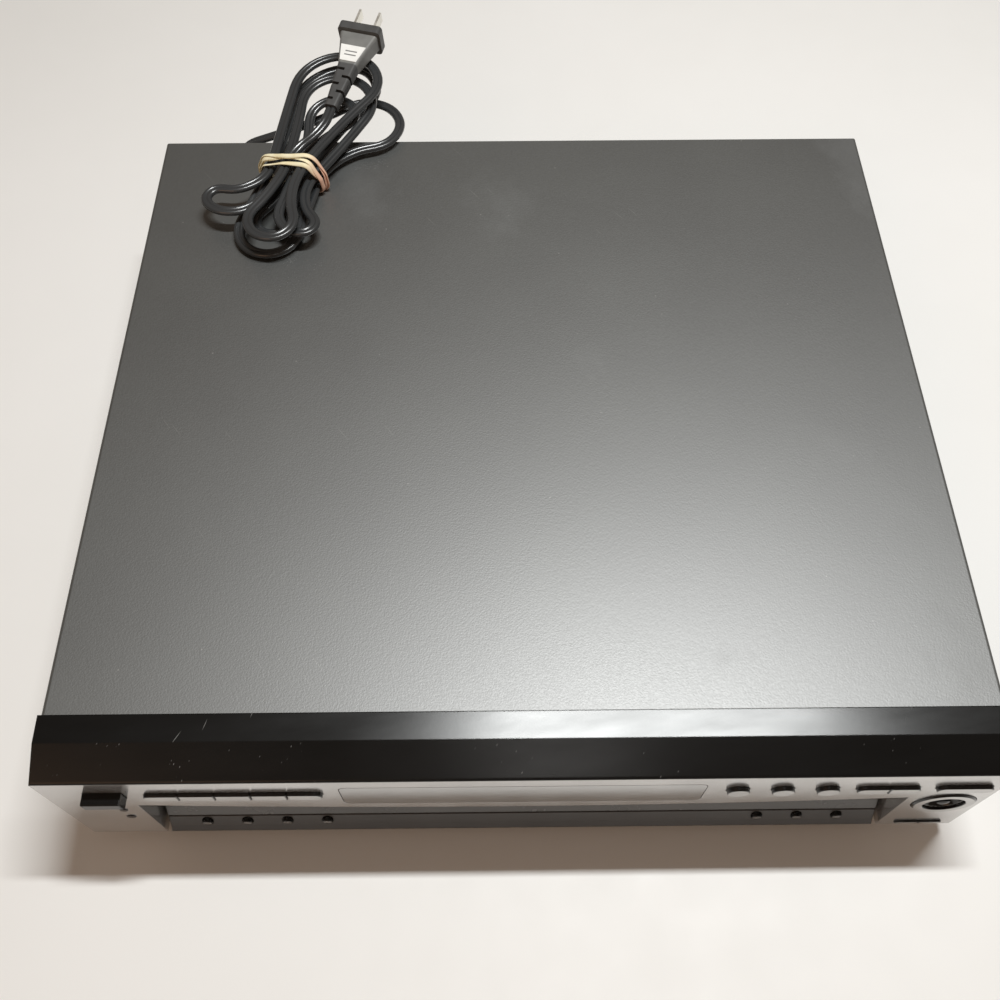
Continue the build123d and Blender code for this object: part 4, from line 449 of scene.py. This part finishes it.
def coated_steel(name):
    """Matt black powder coat with handling smears, dust specks and fine scuffs."""
    paint = Paint(name, IOR=1.9, Specular_IOR_Level=1.0)
    tone = paint.spread(paint.noise(7.0, 4.0, 0.6), 0.35, 0.65)
    base = paint.mix(tone, colour4((0.018, 0.020, 0.019)), colour4((0.030, 0.033, 0.031)))
    smear = paint.spread(paint.noise(6.5, 5.0, 0.65, paint.stretched((1, 0.7, 1), (0, 0, 25))), 0.58, 0.70)
    scuff = paint.scratches(420.0, 0.03, -52, 0.54)
    dust = paint.specks(110.0, 0.06, 0.6)
    marks = paint.math("MAXIMUM", paint.math("MULTIPLY", scuff, 0.25), paint.math("MULTIPLY", dust, 0.6))
    paint.link(paint.mix(marks, base, colour4((0.30, 0.30, 0.28))), "Base Color")
    grain = paint.noise(1300.0, 2.0)
    rough = paint.spread(grain, 0.2, 0.8, 0.44, 0.50)
    paint.link(paint.math("ADD", rough, paint.math("MULTIPLY", smear, 0.07)), "Roughness")
    paint.link(paint.bump(grain, 0.00005), "Normal")
    return paint.material


def gloss_cap(name):
    """Gloss black moulding with hairline scratches and wiping marks."""
    paint = Paint(name, IOR=1.5, Specular_IOR_Level=0.4)
    steep_hairs = paint.scratches(460.0, 0.03, 72, 0.53)
    slanted_hairs = paint.scratches(420.0, 0.03, 58, 0.55)
    marks = paint.math("MAXIMUM", steep_hairs, slanted_hairs)
    tone = paint.uneven(18.0, 4.0)
    base = paint.mix(tone, colour4((0.002, 0.002, 0.002)), colour4((0.004, 0.004, 0.004)))
    paint.link(paint.mix(paint.math("MULTIPLY", marks, 0.5), base, colour4((0.40, 0.40, 0.39))), "Base Color")
    wiped = paint.noise(30.0, 4.0, 0.65, paint.stretched((0.25, 1, 1), (0, 0, 8)))
    paint.link(paint.spread(wiped, noise_low, noise_high, 0.18, 0.26), "Roughness")
    paint.link(paint.bump(paint.noise(350.0, 2.0), 0.000004, 0.0007), "Normal")
    return paint.material


def plated_steel(name, rgb=(0.62, 0.63, 0.62), rough=0.34):
    """Zinc plated sheet with a faint spangle and rolling lines."""
    paint = Paint(name, Metallic=1.0)
    rolled = paint.noise(160.0, 3.0, 0.6, paint.stretched((0.05, 1, 1)))
    tone = paint.spread(paint.math("ADD", paint.noise(45.0, 3.0), rolled), 0.7, 1.3)
    paint.link(paint.mix(tone, colour4(rgb, 0.82), colour4(rgb, 1.08)), "Base Color")
    paint.link(paint.spread(rolled, noise_low, noise_high, rough * 0.85, rough * 1.2), "Roughness")
    paint.link(paint.bump(rolled, 0.000008), "Normal")
    return paint.material


def board_finish(name):
    """Circuit board: lacquered laminate with faint tracks."""
    paint = Paint(name, IOR=1.5)
    tracks = paint.node("ShaderNodeTexVoronoi", Vector=paint.place, Scale=140.0)
    tracks.distance = "MANHATTAN"
    shown = paint.spread(tracks.outputs["Distance"], 0.42, 0.5)
    tone = paint.uneven(40.0)
    base = paint.mix(tone, colour4((0.035, 0.085, 0.035)), colour4((0.05, 0.12, 0.05)))
    paint.link(paint.mix(shown, base, colour4((0.08, 0.17, 0.07))), "Base Color")
    paint.link(paint.uneven(80.0, 3.0, 0.3, 0.45), "Roughness")
    paint.link(paint.bump(shown, 0.00002), "Normal")
    return paint.material


# Along the plug from the lead's end: where its relief gives way to its body, and that to the flange
relief_end, body_start = 0.0315, 0.0325
body_end, flange_start = 0.0548, 0.0552


def plug_finish(name):
    """Black slotted relief, mid-grey body and a darker flange plate, told apart along the plug's axis."""
    paint = Paint(name, IOR=1.5)
    along = paint.along(plug_axis, lead_out)
    body = paint.spread(along, relief_end, body_start)
    flange = paint.spread(along, body_end, flange_start)
    tone = paint.uneven(120.0)
    dark = paint.mix(tone, colour4((0.05, 0.05, 0.05)), colour4((0.075, 0.075, 0.075)))
    grey = paint.mix(tone, colour4((0.16, 0.16, 0.155)), colour4((0.21, 0.21, 0.20)))
    paint.link(paint.mix(flange, paint.mix(body, dark, grey), dark), "Base Color")
    paint.link(paint.uneven(300.0, 3.0, 0.42, 0.55), "Roughness")
    paint.link(paint.bump(paint.noise(moulding_grain), 0.00002), "Normal")
    return paint.material


# Across the hank from its middle: where the band turns from cream to pink
pink_start, pink_full = 0.012, 0.019


def band_finish(name):
    """Cream rubber with a fine grain, pinker towards the right-hand side."""
    paint = Paint(name, IOR=1.5)
    pink = paint.spread(paint.along(across_hank, hank_middle), pink_start, pink_full)
    tone = paint.uneven(240.0)
    cream = paint.mix(tone, colour4((0.80, 0.70, 0.44)), colour4((0.93, 0.86, 0.62)))
    paint.link(paint.mix(pink, cream, colour4((0.84, 0.52, 0.38))), "Base Color")
    paint.link(paint.uneven(400.0, 3.0, 0.48, 0.62), "Roughness")
    paint.link(paint.bump(paint.noise(700.0, 2.0), 0.00006), "Normal")
    return paint.material


def floor_finish(name):
    """Plain pale table, seen white."""
    paint = Paint(name, IOR=1.45)
    tone = paint.uneven(3.0)
    paint.link(paint.mix(tone, colour4((0.85, 0.845, 0.83)), colour4((0.88, 0.875, 0.865))), "Base Color")
    paint.link(paint.uneven(40.0, 3.0, 0.5, 0.6), "Roughness")
    return paint.material


finishes = {
    "cover_steel": coated_steel("cover_steel"),
    "chassis_steel": plated_steel("chassis_steel"),
    "screw_steel": plated_steel("screw_steel", (0.10, 0.10, 0.11), 0.3),
    "foot_plastic": moulded("foot_plastic", (0.03, 0.03, 0.03), 0.55),
    # The second colour is the painted shade along the sill under the drawer
    "fascia_plastic": fascia_finish("fascia_plastic", (0.60, 0.595, 0.59), (0.062, 0.056, 0.052)),
    "cap_plastic": gloss_cap("cap_plastic"),
    "window_plastic": moulded(
        "window_plastic", (0.42, 0.42, 0.42), 0.12,
        depth=0.000002, IOR=2.6, Specular_IOR_Level=1.0, Metallic=0.6,
    ),
    "lens_plastic": moulded("lens_plastic", (0.012, 0.006, 0.006), 0.25, depth=0.000003),
    "button_plastic": two_tone("button_plastic", (0.52, 0.515, 0.51), (0.004, 0.004, 0.004), 0.22, 0.0002),
    "circuit_board": board_finish("circuit_board"),
    "jack_metal": moulded("jack_metal", (0.05, 0.05, 0.05), 0.4),
    "frame_plastic": moulded("frame_plastic", (0.045, 0.045, 0.045), 0.5),
    "motor_steel": plated_steel("motor_steel", (0.6, 0.6, 0.58), 0.28),
    "belt_rubber": moulded("belt_rubber", (0.025, 0.025, 0.025), 0.6),
    "lead_jacket": moulded(
        "lead_jacket", (0.034, 0.036, 0.038), 0.25, grain=700.0, depth=0.000015, Specular_IOR_Level=0.7,
    ),
    "band_rubber": band_finish("band_rubber"),
    "plug_plastic": plug_finish("plug_plastic"),
    "blade_brass": plated_steel("blade_brass", (0.93, 0.91, 0.85), 0.42),
    "tray_plastic": moulded("tray_plastic", (0.05, 0.05, 0.052), 0.5),
    "platter_plastic": moulded("platter_plastic", (0.07, 0.07, 0.074), 0.46),
    "gear_plastic": moulded("gear_plastic", (0.80, 0.79, 0.73), 0.4),
}
slot_of = {part["node"]: part["material_slot"] for part in frame["record"]["subparts"]}
for name, node in nodes.items():
    node.data.materials.clear()
    node.data.materials.append(finishes[slot_of[name]])
# Darker fascia pieces that share their slot with lighter ones. The drawer front's dark grey is painted shade;
# the power button and enter stick are black.
nodes["drawer_front"].data.materials[0] = moulded(
    "drawer_painted_shade", (0.085, 0.082, 0.079), 0.26,
    grain=moulding_grain, depth=moulding_depth, edge=0.0006, IOR=1.6,
)
for name in ("power_button", "enter_stick"):
    nodes[name].data.materials[0] = moulded(
        f"{name}_black", (0.004, 0.004, 0.004), 0.24, depth=0.000004, edge=0.0004, Specular_IOR_Level=0.3,
    )


def dress(piece, slot, finish=None):
    """Give a new piece its slot, the slot's finish or its own, and the cabinet to ride on."""
    piece.data.materials.append(finish or finishes[slot])
    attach(piece, "cabinet")
    return piece


# Rubber band: four turns of a flat band round the hank's waist, crossing each other
band_turns = 4
band_width = 0.0028
band_thick = 0.0010
band_clear = 0.0006
band_steps = 96
band_sides = 10
strand_sides = 16
turn_rise = 0.85
band_spacing = 0.0015
band_sway, sway_phase = 0.0016, 2.1
band_ripple = 0.0007
band_twist, twist_phase = 0.5, 1.7


def turns_left(a, b, c):
    """Whether the way through three flat points turns to the left."""
    return (b[0] - a[0]) * (c[1] - a[1]) > (b[1] - a[1]) * (c[0] - a[0])


def half_hull(chain):
    """The outer corners on one side of flat points in order, without the last."""
    kept = []
    for point in chain:
        while len(kept) > 1 and not turns_left(kept[-2], kept[-1], point):
            kept.pop()
        kept.append(point)
    return kept[:-1]


def hull(points):
    """Outer corners of flat points, in turn."""
    points = sorted(set(points))
    return half_hull(points) + half_hull(reversed(points))


def even_loop(corners, count):
    """A closed outline divided into equal steps."""
    closed = corners + corners[:1]
    lengths = [0.0]
    for a, b in zip(closed, closed[1:]):
        lengths.append(lengths[-1] + sqrt((a[0] - b[0]) ** 2 + (a[1] - b[1]) ** 2))
    made, index = [], 0
    for step in range(count):
        target = lengths[-1] * step / count
        while lengths[index + 1] < target:
            index += 1
        share = (target - lengths[index]) / (lengths[index + 1] - lengths[index])
        a, b = closed[index], closed[index + 1]
        made.append((a[0] + (b[0] - a[0]) * share, a[1] + (b[1] - a[1]) * share))
    return made


def rubber_band():
    """The band's turns as one mesh of flat rounded strips."""
    waist = []
    for _, side, layer, _ in falling + rising:
        for step in range(strand_sides):
            angle = 2 * pi * step / strand_sides
            waist.append((
                side + (lead_width / 2 + band_clear) * cos(angle),
                layer_step * layer + (lead_thick / 2 + band_clear) * sin(angle),
            ))
    loop = even_loop(hull(waist), band_steps)
    corners = [2 * pi * k / band_sides for k in range(band_sides)]
    section = [(band_width / 2 * cos(a), band_thick / 2 * sin(a)) for a in corners]
    points, faces = [], []
    for turn in range(band_turns):
        lift = band_thick * (0.5 + turn_rise * turn)
        shift = band_spacing * (turn - (band_turns - 1) / 2)
        first = len(points)
        for step, (side, rise) in enumerate(loop):
            before, after = loop[step - 1], loop[(step + 1) % band_steps]
            run = Vector((after[0] - before[0], after[1] - before[1])).normalized()
            outward = across_hank * run.y - Vector((0, 0, run.x))
            angle = 2 * pi * step / band_steps
            drift = band_sway * sin(angle + sway_phase * turn) + band_ripple * sin(3 * angle + turn) + shift
            twist = band_twist * sin(2 * angle + twist_phase * turn)
            middle = hank_middle + across_hank * side + Vector((0, 0, rise))
            middle += along_hank * drift + outward * lift
            flat = along_hank * cos(twist) + outward * sin(twist)
            thick = outward * cos(twist) - along_hank * sin(twist)
            points += [middle + flat * u + thick * v for u, v in section]
        for step in range(band_steps):
            here, there = first + step * band_sides, first + (step + 1) % band_steps * band_sides
            for side in range(band_sides):
                next_side = (side + 1) % band_sides
                faces.append((here + side, here + next_side, there + next_side, there + side))
    return mesh_object("band_turns", points, faces)


# Tag on the plug. Each row: its distance from the lead's end, half the body's width, the face's height
plug_side = Vector((plug_axis.y, -plug_axis.x, 0)).normalized()
tag_rows = [(0.0335, 0.0060, 0.0046), (0.0400, 0.0078, 0.0050), (0.0450, 0.0092, 0.0053)]
tag_columns = 6
tag_proud = 0.00025
tag_share = 0.86
tag_middle = 0.0392
line_offset = 0.0013
line_core, line_edge = 0.0004, 0.0005
line_half, line_end = 0.0036, 0.0038


def plug_tag():
    """A thin tag on the plug's upper face, nearly as wide as the body is there."""
    plug_up = plug_side.cross(plug_axis)
    points, faces = [], []
    for lift in (0.0, tag_proud):
        for distance, half, rise in tag_rows:
            for column in range(tag_columns + 1):
                across = (2 * column / tag_columns - 1) * half * tag_share
                points.append(lead_out + plug_axis * distance + plug_side * across + plug_up * (rise + lift))
    wide = tag_columns + 1
    sheet_size = wide * len(tag_rows)
    for row in range(len(tag_rows) - 1):
        for column in range(tag_columns):
            first = row * wide + column
            corners = (first, first + 1, first + wide + 1, first + wide)
            faces.append(tuple(corner + sheet_size for corner in reversed(corners)))
            faces.append(corners)
    rim = [*range(wide), *(row * wide + tag_columns for row in range(1, len(tag_rows)))]
    rim += reversed(range(sheet_size - wide, sheet_size - 1))
    rim += (row * wide for row in reversed(range(1, len(tag_rows) - 1)))
    for first, second in zip(rim, rim[1:] + rim[:1]):
        faces.append((first, first + sheet_size, second + sheet_size, second))
    return mesh_object("plug_tag", points, faces, smooth=False)


def tag_finish():
    """White tag with two plain grey lines."""
    paint = Paint("tag_white", IOR=1.5)
    along = paint.math("ABSOLUTE", paint.along(plug_axis, lead_out + plug_axis * tag_middle), 0.0)
    aside = paint.math("ABSOLUTE", paint.along(plug_side, lead_out), 0.0)
    off_line = paint.math("ABSOLUTE", paint.math("SUBTRACT", along, line_offset), 0.0)
    line = paint.spread(off_line, line_core, line_edge, 1.0, 0.0)
    inside = paint.spread(aside, line_half, line_end, 1.0, 0.0)
    lines = paint.math("MULTIPLY", line, inside)
    tone = paint.uneven(300.0)
    white = paint.mix(tone, colour4((0.80, 0.80, 0.78)), colour4((0.88, 0.88, 0.86)))
    paint.link(paint.mix(lines, white, colour4((0.20, 0.20, 0.20))), "Base Color")
    paint.link(paint.uneven(200.0, 3.0, 0.35, 0.5), "Roughness")
    return paint.material


tag = dress(plug_tag(), "plug_plastic", tag_finish())
band = dress(rubber_band(), "band_rubber")
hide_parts("rubber_band")
lead = dress(lead_curve(), "lead_jacket")
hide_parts("cord_run", "cord_hank")

# Floor and light: two strip lamps in line overhead, faint and warm ones in front, and a warm dim room
floor_half = 4.0
floor_corners = [(x * floor_half, y * floor_half, 0) for x, y in ((-1, -1), (1, -1), (1, 1), (-1, 1))]
floor = mesh_object("floor", floor_corners, [(0, 1, 2, 3)], smooth=False)
floor.data.materials.append(floor_finish("floor"))


def lamp(name, at, aim, wide, long, power, rgb):
    """A rectangular soft lamp in watts, turned towards a point or, with none, facing straight down."""
    data = bpy.data.lights.new(name, "AREA")
    data.shape = "RECTANGLE"
    data.size = wide
    data.size_y = long
    data.energy = power
    data.color = rgb
    made = link_object(name, data)
    made.location = at
    if aim is not None:
        made.rotation_mode = "QUATERNION"
        made.rotation_quaternion = (Vector(aim) - Vector(at)).to_track_quat("-Z", "Y")


lamp("main_lamp", (0.37, 0.12, 1.60), None, 0.44, 0.06, 15.0, (0.98, 1.0, 0.99))
lamp("second_lamp", (0.06, 0.12, 1.60), None, 0.20, 0.06, 8.5, (0.98, 1.0, 0.99))
lamp("front_lamp", (0.10, -0.74, 1.60), None, 0.25, 0.2, 0.5, (1.0, 0.98, 0.95))
lamp("fill_lamp", (-0.9, -1.3, 1.3), (0.0, -0.1, 0.05), 1.0, 1.0, 3.5, (1.0, 0.60, 0.36))
world = bpy.data.worlds.new("world")
world.use_nodes = True
room = world.node_tree.nodes["Background"]
room.inputs["Color"].default_value = colour4((1.0, 0.80, 0.64))
room.inputs["Strength"].default_value = 0.16
scene.world = world
